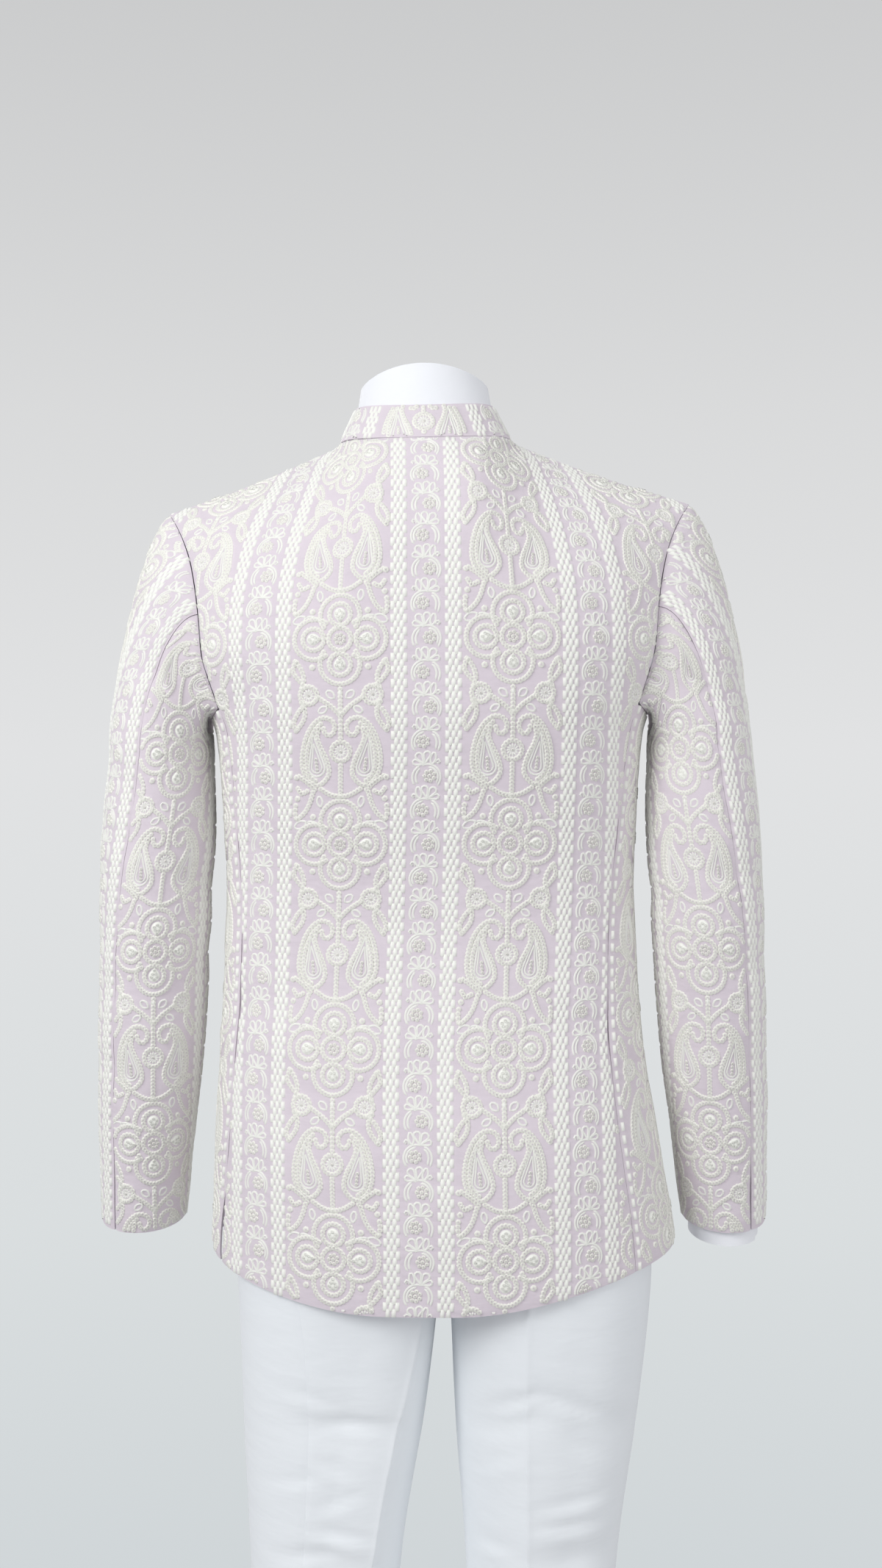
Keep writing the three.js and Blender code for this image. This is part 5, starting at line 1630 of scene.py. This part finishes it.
                    used = kept[owners[tris[:, 0]]]
                    points.append(laid[mine])
                    heights.append(flat[mine, 2])
                    faces.append(number[tris[used]] + count)
                    threads.append(kinds[used])
                    count += int(mine.sum())
        all_faces = np.concatenate(faces)
        if chart.handed < 0:
            all_faces = all_faces[:, ::-1]
        piece = make_mesh(name, np.concatenate(points), all_faces, np.concatenate(threads))
        # Paints shade: a per-point layer, 1 at the link holes' bottom, about 0.8 at sunk stitch edges and 0
        # from the crest height up.
        depth = piece.data.attributes.new(SHADE_LAYER, "FLOAT", "POINT")
        sunk = 1 - smooth(np.concatenate(heights), Stitches.hole, self.crest)
        depth.data.foreach_set("value", sunk.astype(np.float32))
        return piece

    def stretched(self, laid: Array, flat: Array, tris: Array, owners: Array) -> Array:
        """Returns the stitches that the cloth's bend pulls far out of their own shape."""
        after = np.roll(tris, 1, axis=1)
        worn = np.linalg.norm(laid[tris] - laid[after], axis=-1).max(axis=1)
        made = np.linalg.norm(flat[tris] - flat[after], axis=-1).max(axis=1)
        return owners[tris[worn > self.stretch_limit * made + self.stretch_slack, 0]]


def seam_roll(chart: Chart, depth: float = 0.8, reach: float = 3.0, hem: bool = False) -> Array:
    """Returns the lift that rolls a panel's side edges in to its seams.

    Args:
        chart: the panel.
        depth: how far its edge sinks.
        reach: how far in the roll spreads.
        hem: whether the bottom edge rolls in too.

    Returns:
        The lift at each of the chart's places.
    """
    from_side = np.minimum(chart.across - chart.left[:, None], chart.right[:, None] - chart.across)
    lift = -depth * np.exp(-((from_side / reach) ** 2))
    if hem:
        lift -= depth * np.exp(-(((chart.up - chart.up[:1]) / reach) ** 2))
    return lift


def ruffle(chart: Chart, depth: float, phase: float) -> Array:
    """Returns the slight unevenness of hanging cloth: low, mostly level waves.

    Args:
        chart: the cloth.
        depth: how high they stand.
        phase: where they start, different for each piece.

    Returns:
        The lift at each place.
    """
    x, y = chart.across, chart.up
    slow = np.sin(y / 13.7 + 1.7 * np.sin(x / 61 + phase) + phase)
    fast = np.sin(y / 7.3 + 2.3 * np.sin(x / 37 - phase) - 2 * phase)
    patchy = 0.5 + 0.5 * np.sin(x / 83 + 2 * phase) * np.sin(y / 117 + phase)
    return depth * patchy * (0.7 * slow + 0.3 * fast)


@dataclass
class Jacket:
    """The jacket: embroidered panels, sleeves and collar, and its buttons."""

    body: BodyForm
    sleeve: SleeveForm
    finishes: Finishes
    pattern: Pattern
    cloth: float = 1.8
    collar_cloth: float = 2.2
    lap_lift: float = 2.4
    lap_fade: float = 70
    vent_length: float = 64
    vent_gap: float = 5.5
    vent_start: float = 0.22
    cuff_vent_length: float = 88
    cuff_vent_gap: float = 1.6
    degree: float = 0.9
    flower_up: float = -181
    sleeve_flower_up: float = -277
    side_flower_up: float = -159
    column_across: float = 74
    side_column: float = 50
    sleeve_columns: dict[str, float] = field(default_factory=lambda: {"upper": 107, "under": 41.5})
    collar_middle: float = 17.5
    back_grid: tuple[int, float] = (60, 400)
    front_grid: tuple[int, float] = (34, 240)
    side_grid: tuple[int, float] = (18, 100)
    row_pitch: float = 8.5
    side_row_pitch: float = 7
    button_radius: float = 9.5
    button_depth: float = 5
    button_steps: int = 40
    button_levels: tuple[float, ...] = (-27, -142, -236, -314, -392, -470)
    back_folds: tuple[Fold, ...] = fold_rows(
        (-150, -520, 80, 22, -2.5, 12), (152, -500, 80, 22, -2.5, -14), (40, -430, 120, 24, -2, 4),
        (-118, -468, 60, 12, -1.1, 8), (122, -452, 66, 13, -1.2, -7), (-190, -118, 34, 11, -1.8, 62),
        (194, -128, 36, 11, -1.9, -60), (-168, -224, 46, 13, -1.4, 40), (172, -232, 50, 13, -1.5, -38),
        (0, -62, 90, 13, -1.2, 0), (-60, -604, 90, 20, 1.2, 3), (70, -640, 80, 18, 1.1, -5),
    )
    front_folds: tuple[Fold, ...] = fold_rows(
        (190, -215, 60, 15, -2.2, -46), (168, -268, 56, 15, -1.6, -30), (120, -430, 90, 20, -1.6, 8),
        (70, -470, 80, 18, -1.2, -6), (150, -560, 90, 22, -1.5, 20), (110, -96, 60, 16, -1.2, -24),
    )
    sleeve_folds: dict[Side, tuple[Fold, ...]] = field(
        default_factory=lambda: {
            Side.LEFT: fold_rows(
                (128, -300, 70, 18, -2.6, 36), (-60, -412, 70, 18, -3.6, 4), (170, -452, 80, 20, -2, -12),
                (112, -196, 46, 11, -2.4, 30), (118, -352, 60, 13, -1.8, 18),
                (126, -486, 60, 14, -1.7, -14), (128, -560, 54, 13, -1.3, 12), (30, -392, 60, 14, -2.2, 6),
                (-20, -455, 60, 15, -1.8, -8), (210, -260, 60, 15, -1.6, 22),
            ),
            Side.RIGHT: fold_rows(
                (118, -232, 80, 16, -4.6, -24), (84, -300, 70, 18, -2.6, -30),
                (-60, -404, 70, 18, -3.6, -4), (150, -214, 60, 13, -2.6, -18),
                (112, -272, 60, 12, -2.2, -20), (104, -386, 66, 14, -2.0, -12),
                (134, -466, 60, 14, -1.6, 10), (120, -556, 50, 13, -1.2, -10), (26, -410, 60, 14, -2.2, -6),
                (214, -288, 60, 15, -1.6, -20),
            ),
        }
    )

    def build(self) -> None:
        """Builds every piece of the jacket."""
        self.dress_panel("jacket_back", self.back(), self.column_across, self.flower_up)
        for side in Side:
            front = self.front(side)
            self.dress_panel(f"jacket_front_{side.value}", front, self.column_across, self.flower_up)
            panel = self.side(side)
            self.dress_panel(f"jacket_side_{side.value}", panel, self.side_column, self.side_flower_up)
            for kind, column in self.sleeve_columns.items():
                chart = self.sleeve_piece(kind == "upper", side)
                self.dress_panel(f"sleeve_{kind}_{side.value}", chart, column, self.sleeve_flower_up)
        self.collar()
        self.buttons()

    def dress_panel(
        self, node: str, chart: Chart, column: float, flower: float, thickness: float | None = None
    ) -> None:
        """Makes a panel's cloth and its needlework.

        Args:
            node: the node that the cloth stands for.
            chart: the panel.
            column: where one of its paisley columns runs.
            flower: a level of its flowers' middles.
            thickness: the cloth's thickness, if not the jacket's own.
        """
        cloth = cloth_shell(f"{node}_cloth", chart, thickness or self.cloth)
        coat(cloth, self.finishes.ground, self.finishes.lining)
        declare(cloth, node, "jacket_cloth", *chart.cut())
        work = self.pattern.lay_on(f"{node}_needlework", chart, column, flower)
        coat(work, self.finishes.chain, self.finishes.cord)
        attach(work, "root")
        LOG.info("%s: needlework of %d faces", node, len(work.data.polygons))

    def back(self) -> Chart:
        """Returns the back's chart."""
        body = self.body
        shares = edged(*self.back_grid)
        rows = []
        for level in body.levels(body.hem, -IN_SEAM, self.row_pitch):
            width = body.back_width.at(level) - IN_SEAM
            rows.append(body.row(-width, width, shares, level, True, 1))
        chart = body.chart(rows, shares, Side.LEFT).face_out(0, body.middle)
        body.ease_neck(chart)
        lift = creased(self.back_folds, chart.across, chart.up) + seam_roll(chart, hem=True)
        chart.lifted(lift + ruffle(chart, 0.5, 0.4))
        return chart

    def front(self, side: Side) -> Chart:
        """Returns a front's chart; the left one laps over the right."""
        body = self.body
        shares = edged(*self.front_grid)
        rows = []
        for level in body.levels(body.hem, -IN_SEAM, self.row_pitch):
            width = body.front_width(level) - IN_SEAM
            rows.append(body.row(-body.front_lap, width, shares, level, False, side.hand))
        chart = body.chart(rows, shares, side).face_out(0, body.middle)
        body.ease_neck(chart)
        lift = creased(self.front_folds, chart.across, chart.up) + ruffle(chart, 0.4, side.hand * 1.3)
        away = smooth(chart.across, body.front_lap + 8, self.lap_fade)
        lift = lift * away + seam_roll(chart, 0.5, hem=True)
        if side is Side.LEFT:
            lift = lift + self.lap_lift * (1 - away)
        chart.lifted(lift)
        return chart

    def side(self, side: Side) -> Chart:
        """Returns a side panel's chart, open along its back edge where the vent is."""
        body = self.body
        shares = edged(*self.side_grid)
        levels = body.levels(body.hem, body.underarm - SEAM, self.side_row_pitch)
        grid, widths = [], []
        for level in levels:
            low, high = IN_SEAM, body.side_width.at(level) - IN_SEAM
            if side is Side.LEFT:
                climb = float(np.clip((level - body.hem) / self.vent_length, 0, 1))
                low += self.vent_gap * math.sin(math.pi * mix(self.vent_start, 1, climb))
            back = body.back_width.at(level)
            grid.append(body.ring(level, back + mix(low, high, shares), side.hand))
            widths.append((low, high))
        points = np.stack(grid)
        reach = (levels - levels[0]) / (levels[-1] - levels[0])
        dip = body.underarm_dip * np.sin(math.pi * np.clip(shares, 0, 1)) / (levels[-1] - levels[0])
        moved = [read_along(reach * (1 - sink), reach, points[:, j]) for j, sink in enumerate(dip)]
        rows = [(low, high, row) for (low, high), row in zip(widths, np.stack(moved, 1))]
        chart = body.chart(rows, shares, side).face_out(0, body.middle)
        chart.lifted(seam_roll(chart, hem=True) + ruffle(chart, 0.5, 2.1 * side.hand))
        return chart

    def sleeve_piece(self, is_upper: bool, side: Side) -> Chart:
        """Returns a sleeve piece's chart, creased, with its edge drawn back along the cuff's vent."""
        chart = self.sleeve.piece(is_upper, side)
        x, y = self.sleeve.middle
        chart.face_out(side.hand * x, y)
        below = self.sleeve.hem + self.cuff_vent_length - chart.up[:, 0]
        draw = self.cuff_vent_gap / 2 * smooth(below, 0, self.cuff_vent_length)
        width = chart.right - chart.left
        pull = ((IN_SEAM + draw) / width)[:, None] * (1 - chart.shares)[None, :] ** 6
        ahead = np.gradient(chart.points, axis=1)
        ahead /= np.linalg.norm(ahead, axis=-1, keepdims=True)
        chart.points = chart.points + ahead * (pull * width[:, None])[..., None]
        angle = self.angles(is_upper, chart)
        turn = np.where(angle > 270, angle - 360, angle)
        fade = 1 - smooth(chart.up, -150, -90)
        lift = np.zeros_like(chart.up)
        for fold in self.sleeve_folds[side]:
            lift += replace(fold, across=0).lift((turn - fold.across) * self.degree, chart.up)
        lift = lift * fade + seam_roll(chart, 0.9, 3.4) + ruffle(chart, 0.55, 0.9 * side.hand + is_upper)
        crown = smooth(chart.up, chart.up[-1].mean() - 14, chart.up[-1].mean())
        chart.lifted(lift - 0.8 * crown)
        return chart

    def angles(self, is_upper: bool, chart: Chart) -> Array:
        """Returns the degrees round from the underarm at each of a sleeve chart's places."""
        along = np.clip((chart.up.mean(axis=1) - self.sleeve.top) / (self.sleeve.hem - self.sleeve.top), 0, 1)
        along = self.sleeve.cap + along * (1 - self.sleeve.cap)
        hind, fore = (self.sleeve.seams.read(name, along)[:, None] for name in ("hind", "fore"))
        return mix(hind, 360 + fore if is_upper else fore, chart.shares[None, :])

    def collar(self) -> None:
        """Builds the stand collar, cut from the same cloth across a paisley column."""
        band = NeckBand(self.body, opening=2.4, corner=14, height=36, start=0.5)
        chart = band.chart(84, 16)
        flower = self.collar_middle + self.pattern.rosette_down
        self.dress_panel("jacket_collar", chart, 0, flower, self.collar_cloth)

    def buttons(self) -> None:
        """Builds the domed buttons with a turned rim."""
        for number, level in enumerate(self.button_levels, 1):
            low, high = (Vector(corner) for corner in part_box(f"button_{number}"))
            middle = (low + high) / 2 / MM
            out = self.button_out(level)
            button = self.button(f"button_{number}_domed", np.array(middle), out)
            coat(button, self.finishes.button)
            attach(button, "root")
            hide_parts(f"button_{number}")
        LOG.info("buttons: %d", len(self.button_levels))

    def button_out(self, level: float) -> Array:
        """Returns the way that the front faces at a button's level."""
        spots = ((0.01, level + 2), (0.01, level - 2), (2.0, level), (0.01, level))
        above, below, beside, here = (self.body.body(np.array([x]), at, False, 1)[0] for x, at in spots)
        out = np.cross(above - below, beside - here)
        out *= -np.sign(out[1])
        return out / np.linalg.norm(out)

    def button(self, name: str, middle: Array, out: Array) -> Object:
        """Makes one button about its middle.

        Args:
            name: its name.
            middle: the middle of its thickness.
            out: the way that it faces.

        Returns:
            The object.
        """
        r, d = self.button_radius, self.button_depth
        profile = np.array(
            [
                (0, 0), (0.8 * r, 0), (0.96 * r, 0.12 * d), (r, 0.34 * d), (0.97 * r, 0.52 * d),
                (0.88 * r, 0.66 * d), (0.8 * r, 0.62 * d), (0.74 * r, 0.66 * d), (0.6 * r, 0.84 * d),
                (0.36 * r, 0.95 * d), (0, d),
            ]
        )
        turn = np.linspace(0, 2 * math.pi, self.button_steps, endpoint=False)
        side = np.cross(out, [0, 0, 1.0])
        side /= np.linalg.norm(side)
        up = np.cross(side, out)
        ring = np.cos(turn)[:, None] * side + np.sin(turn)[:, None] * up
        points = np.concatenate([middle + radius * ring + (rise - d / 2) * out for radius, rise in profile])
        return make_mesh(name, points, ring_faces(self.button_steps, len(profile)))


def coat(piece: Object, *materials: Material) -> None:
    """Gives a piece its materials in order."""
    for material in materials:
        piece.data.materials.append(material)


def declare(piece: Object, node: str, slot: str, size: tuple[float, float], area: float) -> None:
    """Hides the solid that a cloth piece stands for, attaches the piece to the root, and logs the size that
    it was cut to.
    """
    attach(piece, "root")
    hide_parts(node)
    width, length = size[0] / MM, size[1] / MM
    LOG.info("%s: cut %.0f by %.0f mm, %.4f square metres", piece.name, width, length, area)


def worn_copy(solid: Object, finish: Material, slot: str, finer: int) -> None:
    """Makes a piece that the jacket hides, as a copy of its solid in its own cloth.

    Args:
        solid: the node that it stands for.
        finish: the cloth's material.
        slot: not used; declare, to which it is passed, ignores it.
        finer: how many times its grid is made finer.
    """
    piece = solid.copy()
    piece.data = solid.data.copy()
    piece.name = f"{solid.name}_cloth"
    piece.data.materials.clear()
    coat(piece, finish)
    bpy.context.scene.collection.objects.link(piece)
    if finer:
        smoother = piece.modifiers.new("finer", "SUBSURF")
        smoother.levels = smoother.render_levels = finer
        for face in piece.data.polygons:
            face.use_smooth = True
    low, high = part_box(solid.name)
    area = sum(face.area for face in piece.data.polygons) / 2
    tall = high[2] - low[2]
    declare(piece, solid.name, slot, (area / tall, tall), area)


@dataclass
class Shirt:
    """The shirt inside the jacket: its body, sleeves, band cuffs and high band collar."""

    nodes: dict[str, Object]
    body: BodyForm
    sleeve: SleeveForm
    finishes: Finishes
    cloth: float = 1.0
    hem: float = -590
    underarm: float = -226
    neck_trim: float = 1.3
    insets: Table = Table.of(
        "level inset",
        (-590, 17), (-480, 12), (-400, 9), (-300, 5.4), (-238, 3.6), (-150, 2.8), (0, 2.5),
    )
    back_grid: tuple[int, float] = (40, 400)
    front_grid: tuple[int, float] = (24, 240)
    cuff_grid: tuple[int, float] = (70, 280)
    row_pitch: float = 12
    cuff_height: float = 60
    cuff_cloth: float = 1.6
    cuff_inset: float = 6
    cuff_tuck: float = 2.1
    cuff_overlap: float = 14
    cuff_end: float = 128
    cuff_shows: dict[Side, float] = field(default_factory=lambda: {Side.LEFT: -8, Side.RIGHT: 14})

    def build(self) -> None:
        """Builds every piece of the shirt."""
        self.dress_piece("shirt_back", self.panel(True, Side.LEFT), self.cloth)
        for side in Side:
            self.dress_piece(f"shirt_front_{side.value}", self.panel(False, side), self.cloth)
            self.cuff(side)
            worn_copy(self.nodes[f"shirt_sleeve_{side.value}"], self.finishes.shirting, "shirt_cloth", 1)
        band = NeckBand(
            self.body,
            opening=0.5, corner=12, height=76, start=0.3, inset=2.7, rim=0.46,
            top_ring=SHIRT_COLLAR_TOP,
        )
        self.dress_piece("shirt_collar", band.chart(80, 18), 1.8)

    def dress_piece(self, node: str, chart: Chart, thickness: float) -> None:
        """Makes one piece of the shirt from its chart."""
        piece = cloth_shell(f"{node}_cloth", chart, thickness)
        coat(piece, self.finishes.shirting, self.finishes.shirting)
        declare(piece, node, "shirt_cloth", *chart.cut())

    def half_side(self, level: float) -> float:
        """Returns how much of the side a shirt panel takes at a level."""
        return self.body.side_width.at(level) / 2 if level < self.underarm - 0.01 else 0.0

    def panel(self, behind: bool, side: Side) -> Chart:
        """Returns the chart of the shirt's back or of one front."""
        body = self.body
        shares = edged(*(self.back_grid if behind else self.front_grid))
        rows = []
        for level in body.levels(self.hem, -self.neck_trim, self.row_pitch):
            high = body.back_width.at(level) + self.half_side(level)
            if not behind and level < self.underarm - 0.01:
                high = body.half_girth(level) - high
            elif not behind:
                high = body.front_width(max(level, body.underarm + 0.1))
            high -= IN_SEAM
            low = -high if behind else IN_SEAM
            rows.append(body.row(low, high, shares, level, behind, side.hand))
        chart = body.chart(rows, shares, side).face_out(0, body.middle)
        body.ease_neck(chart)
        inset = self.insets.read("inset", np.minimum(chart.up, 0))
        chart.lifted(-inset + 0.2 * ruffle(chart, 1, side.hand + behind))
        return chart

    def cuff(self, side: Side) -> None:
        """Builds a cuff, whose outer end laps its inner end."""
        top = self.sleeve.hem - self.cuff_shows[side] + self.cuff_height
        shares = edged(*self.cuff_grid)
        angle = self.cuff_end + shares * (360 + self.cuff_overlap)
        inset = self.cuff_inset + self.cuff_tuck * (1 - smooth(shares, 0.05, 0.16))
        levels = top - self.cuff_height * (1 - edged(6, self.cuff_height, (0, 1, 2.4)))
        points = np.stack([self.sleeve.ring(angle, level, inset) for level in levels])
        girth = lengths(points, axis=1)[:, -1]
        up = np.repeat(levels[:, None], shares.size, axis=1)
        chart = Chart(shares, 0 * girth, girth, up, self.body.leaned(points * side.flip, True))
        x, y = self.sleeve.wrist
        chart.face_out(side.hand * x, y)
        self.dress_piece(f"shirt_cuff_{side.value}", chart, self.cuff_cloth)


@dataclass
class Trousers:
    """The straight white trousers with pressed creases."""

    nodes: dict[str, Object]
    form: TrouserForm
    finishes: Finishes
    cloth: float = 1.3
    folds: dict[Side, tuple[Fold, ...]] = field(
        default_factory=lambda: {
            Side.LEFT: fold_rows(
                (113, -872, 80, 15, -3.4, 6), (119, -996, 80, 15, -3.6, 5), (135, -1042, 80, 15, -3, -6),
                (405, -1436, 80, 18, -5, 4), (108, -1090, 70, 13, -2.4, 8), (119, -1440, 80, 16, -3.4, 3),
                (130, -1468, 70, 12, -2.6, -4), (378, -1010, 80, 15, -2.8, 6),
                (350, -1060, 70, 14, -2.2, -8), (405, -820, 90, 20, -2.4, 18),
            )
            + wrinkles(
                (112, -866, 44, 2.3, 4), (128, -905, 30, 1.2, 14), (118, -934, 34, 1.3, -22),
                (116, -966, 46, 2.3, 8), (142, -984, 46, 1.8, -6), (150, -842, 40, 1.1, 20),
                (164, -918, 36, 1.2, -10),
            ),
            Side.RIGHT: fold_rows(
                (103, -860, 60, 15, -3.2, 24), (194, -872, 64, 15, -3.4, -28),
                (162, -990, 90, 15, -3.6, -2), (405, -1436, 80, 18, -5, -4), (135, -1075, 80, 13, -2.4, 6),
                (124, -1446, 80, 16, -3.4, -4), (108, -1472, 70, 12, -2.4, 5),
                (391, -1015, 80, 15, -2.8, -6), (365, -1070, 70, 14, -2.2, 9),
                (405, -826, 90, 20, -2.4, -18),
            )
            + wrinkles(
                (106, -842, 40, 2.2, 26), (152, -846, 44, 2.4, -26), (160, -936, 48, 1.9, 3),
                (156, -957, 50, 2.0, -5), (92, -898, 40, 1.2, 32), (176, -892, 40, 1.3, -34),
                (82, -978, 40, 1.2, 10),
            ),
        }
    )

    def build(self) -> None:
        """Builds the leg panels and the waistband."""
        for side in Side:
            for behind in (True, False):
                node = f"trouser_{'back' if behind else 'front'}_{side.value}"
                chart = self.form.panel(side, behind, self.folds[side])
                lift = seam_roll(chart, 0.7, 2.6) + ruffle(chart, 0.12, 0.8 * side.hand + behind)
                chart.lifted(lift)
                piece = cloth_shell(f"{node}_cloth", chart, self.cloth)
                coat(piece, self.finishes.suiting, self.finishes.suiting)
                declare(piece, node, "trouser_cloth", *chart.cut())
        worn_copy(self.nodes["trouser_waistband"], self.finishes.suiting, "trouser_cloth", 0)


@dataclass(frozen=True)
class SoftBox:
    """A soft studio light: where it hangs, what it faces, its size in metres and power in watts."""

    name: str
    place: Triple
    target: Triple
    size: float
    power: float

    def build(self) -> None:
        """Hangs the light."""
        light = bpy.data.lights.new(self.name, "AREA")
        light.shape = "SQUARE"
        light.size = self.size
        light.energy = self.power
        lamp = bpy.data.objects.new(self.name, light)
        lamp.location = self.place
        aim = Vector(self.target) - Vector(self.place)
        lamp.rotation_euler = aim.to_track_quat("-Z", "Y").to_euler()
        bpy.context.scene.collection.objects.link(lamp)


@dataclass
class Studio:
    """The pale floor, soft light and the camera at the picture's viewing angle."""

    image_height: int = 2134
    focal_pixels: float = 2000
    target: Triple = (-12.2, 112, -306)
    distance: float = 1250
    azimuth: float = 1.0
    roll: float = 0.3
    sensor: float = 36
    floor_radius: float = 0.9
    floor_rings: tuple[float, ...] = (0.001, 0.4, 0.8, 1.0)
    floor_steps: int = 96
    fade_from: float = 0.6
    fade_to: float = 0.87
    surround: float = 0.5
    # Painted light on the backdrop that the camera sees: colours by height of view, brightest near eye level.
    backdrop: tuple[tuple[float, Triple], ...] = (
        (-0.5, (0.62, 0.66, 0.68)),
        (-0.28, (0.7, 0.73, 0.74)),
        (0.02, (0.755, 0.762, 0.77)),
        (0.24, (0.7, 0.705, 0.71)),
        (0.5, (0.585, 0.59, 0.595)),
    )

    def build(self) -> None:
        """Builds the camera, the lights, the world and the floor."""
        self.camera()
        self.world()
        self.floor()
        for light in (
            SoftBox("window_light", (1.8, 1.9, 0.9), (0, 0, -0.8), 1.2, 48),
            SoftBox("fill_light", (-2.2, 1.8, -0.1), (0, 0, -0.8), 2.0, 20),
            SoftBox("top_light", (-0.1, 0.5, 1.8), (0, 0, -0.4), 1.4, 4),
            SoftBox("front_light", (0.8, -2.6, 0.6), (0, 0, -0.5), 2.2, 34),
        ):
            light.build()

    def camera(self) -> None:
        """Sets up the camera, level and very slightly rolled."""
        turn = math.radians(self.azimuth)
        ahead = Vector((math.sin(turn), -math.cos(turn), 0))
        data = bpy.data.cameras.new("picture_camera")
        data.sensor_fit = "VERTICAL"
        data.sensor_height = self.sensor
        data.lens = self.focal_pixels / self.image_height * self.sensor
        data.clip_start = 0.05
        camera = bpy.data.objects.new("picture_camera", data)
        camera.location = (Vector(self.target) - self.distance * ahead) * MM
        rolled = Quaternion((0, 0, 1), math.radians(-self.roll))
        camera.rotation_mode = "QUATERNION"
        camera.rotation_quaternion = ahead.to_track_quat("-Z", "Y") @ rolled
        bpy.context.scene.collection.objects.link(camera)
        bpy.context.scene.camera = camera

    def world(self) -> None:
        """Sets a pale surround: the camera sees a backdrop with painted light, brightest near eye level and
        darker above and below, and everything else is lit by a plain grey.
        """
        world = bpy.data.worlds.new("pale_surround")
        world.use_nodes = True
        bench = NodeBench(world.node_tree)
        ahead = bench.add("TexCoord").outputs["Generated"]
        climb = bench.add("SeparateXYZ", in_0=ahead).outputs["Z"]
        ramp = bench.add("ValToRGB", in_0=bench.math("ADD", climb, 0.5))
        stops = ramp.color_ramp.elements
        for index, (height, colour) in enumerate(self.backdrop):
            stop = stops[index] if index < 2 else stops.new(1.0)
            stop.position = height + 0.5
            stop.color = (*colour, 1)
        seen = bench.add("LightPath").outputs["Is Camera Ray"]
        light = bench.blend(seen, (self.surround, self.surround, 1.03 * self.surround, 1), ramp.outputs[0])
        bench.tree.links.new(light, world.node_tree.nodes["Background"].inputs[0])
        bpy.context.scene.world = world
        bpy.context.scene.view_settings.view_transform = "Standard"

    def floor(self) -> None:
        """Lays a round pale floor that fades out at its edge."""
        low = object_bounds()[0][2] - 0.002
        turn = np.linspace(0, 2 * math.pi, self.floor_steps + 1)[:-1]
        rings = np.array(self.floor_rings) * self.floor_radius / MM
        points = np.concatenate(
            [np.stack([r * np.cos(turn), r * np.sin(turn), np.full_like(turn, low / MM)], -1) for r in rings]
        )
        floor = make_mesh("studio_floor", points, ring_faces(self.floor_steps, len(rings))[:, ::-1])
        material, bench, shader = blank_material("pale_floor")
        place = bench.add("TexCoord").outputs["Object"]
        far = bench.add("VectorMath", operation="LENGTH", in_0=place).outputs["Value"]
        fade = bench.add(
            "MapRange",
            interpolation_type="SMOOTHSTEP",
            in_0=far, in_1=self.fade_from, in_2=self.fade_to, in_3=1.0, in_4=0.0,
        )
        bench.tree.links.new(fade.outputs[0], shader.inputs["Alpha"])
        noise = bench.add("TexNoise", in_Vector=place, in_Scale=30.0)
        colour = bench.blend(noise.outputs[0], (0.7, 0.71, 0.72, 1), (0.74, 0.75, 0.76, 1))
        bench.tree.links.new(colour, shader.inputs["Base Color"])
        shader.inputs["Roughness"].default_value = 0.8
        floor.data.materials.append(material)
        floor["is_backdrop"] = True


def main() -> None:
    """Builds the studio and the outfit around the frame."""
    logging.basicConfig(level=logging.INFO, format="%(name)s: %(message)s")
    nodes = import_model()["nodes"]
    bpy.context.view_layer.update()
    Studio().build()
    body = BodyForm()
    sleeve = SleeveForm(body)
    finishes = Finishes()
    Jacket(body, sleeve, finishes, Pattern()).build()
    Shirt(nodes, body, sleeve, finishes).build()
    Trousers(nodes, TrouserForm(body), finishes).build()


if __name__ == "__main__":
    main()
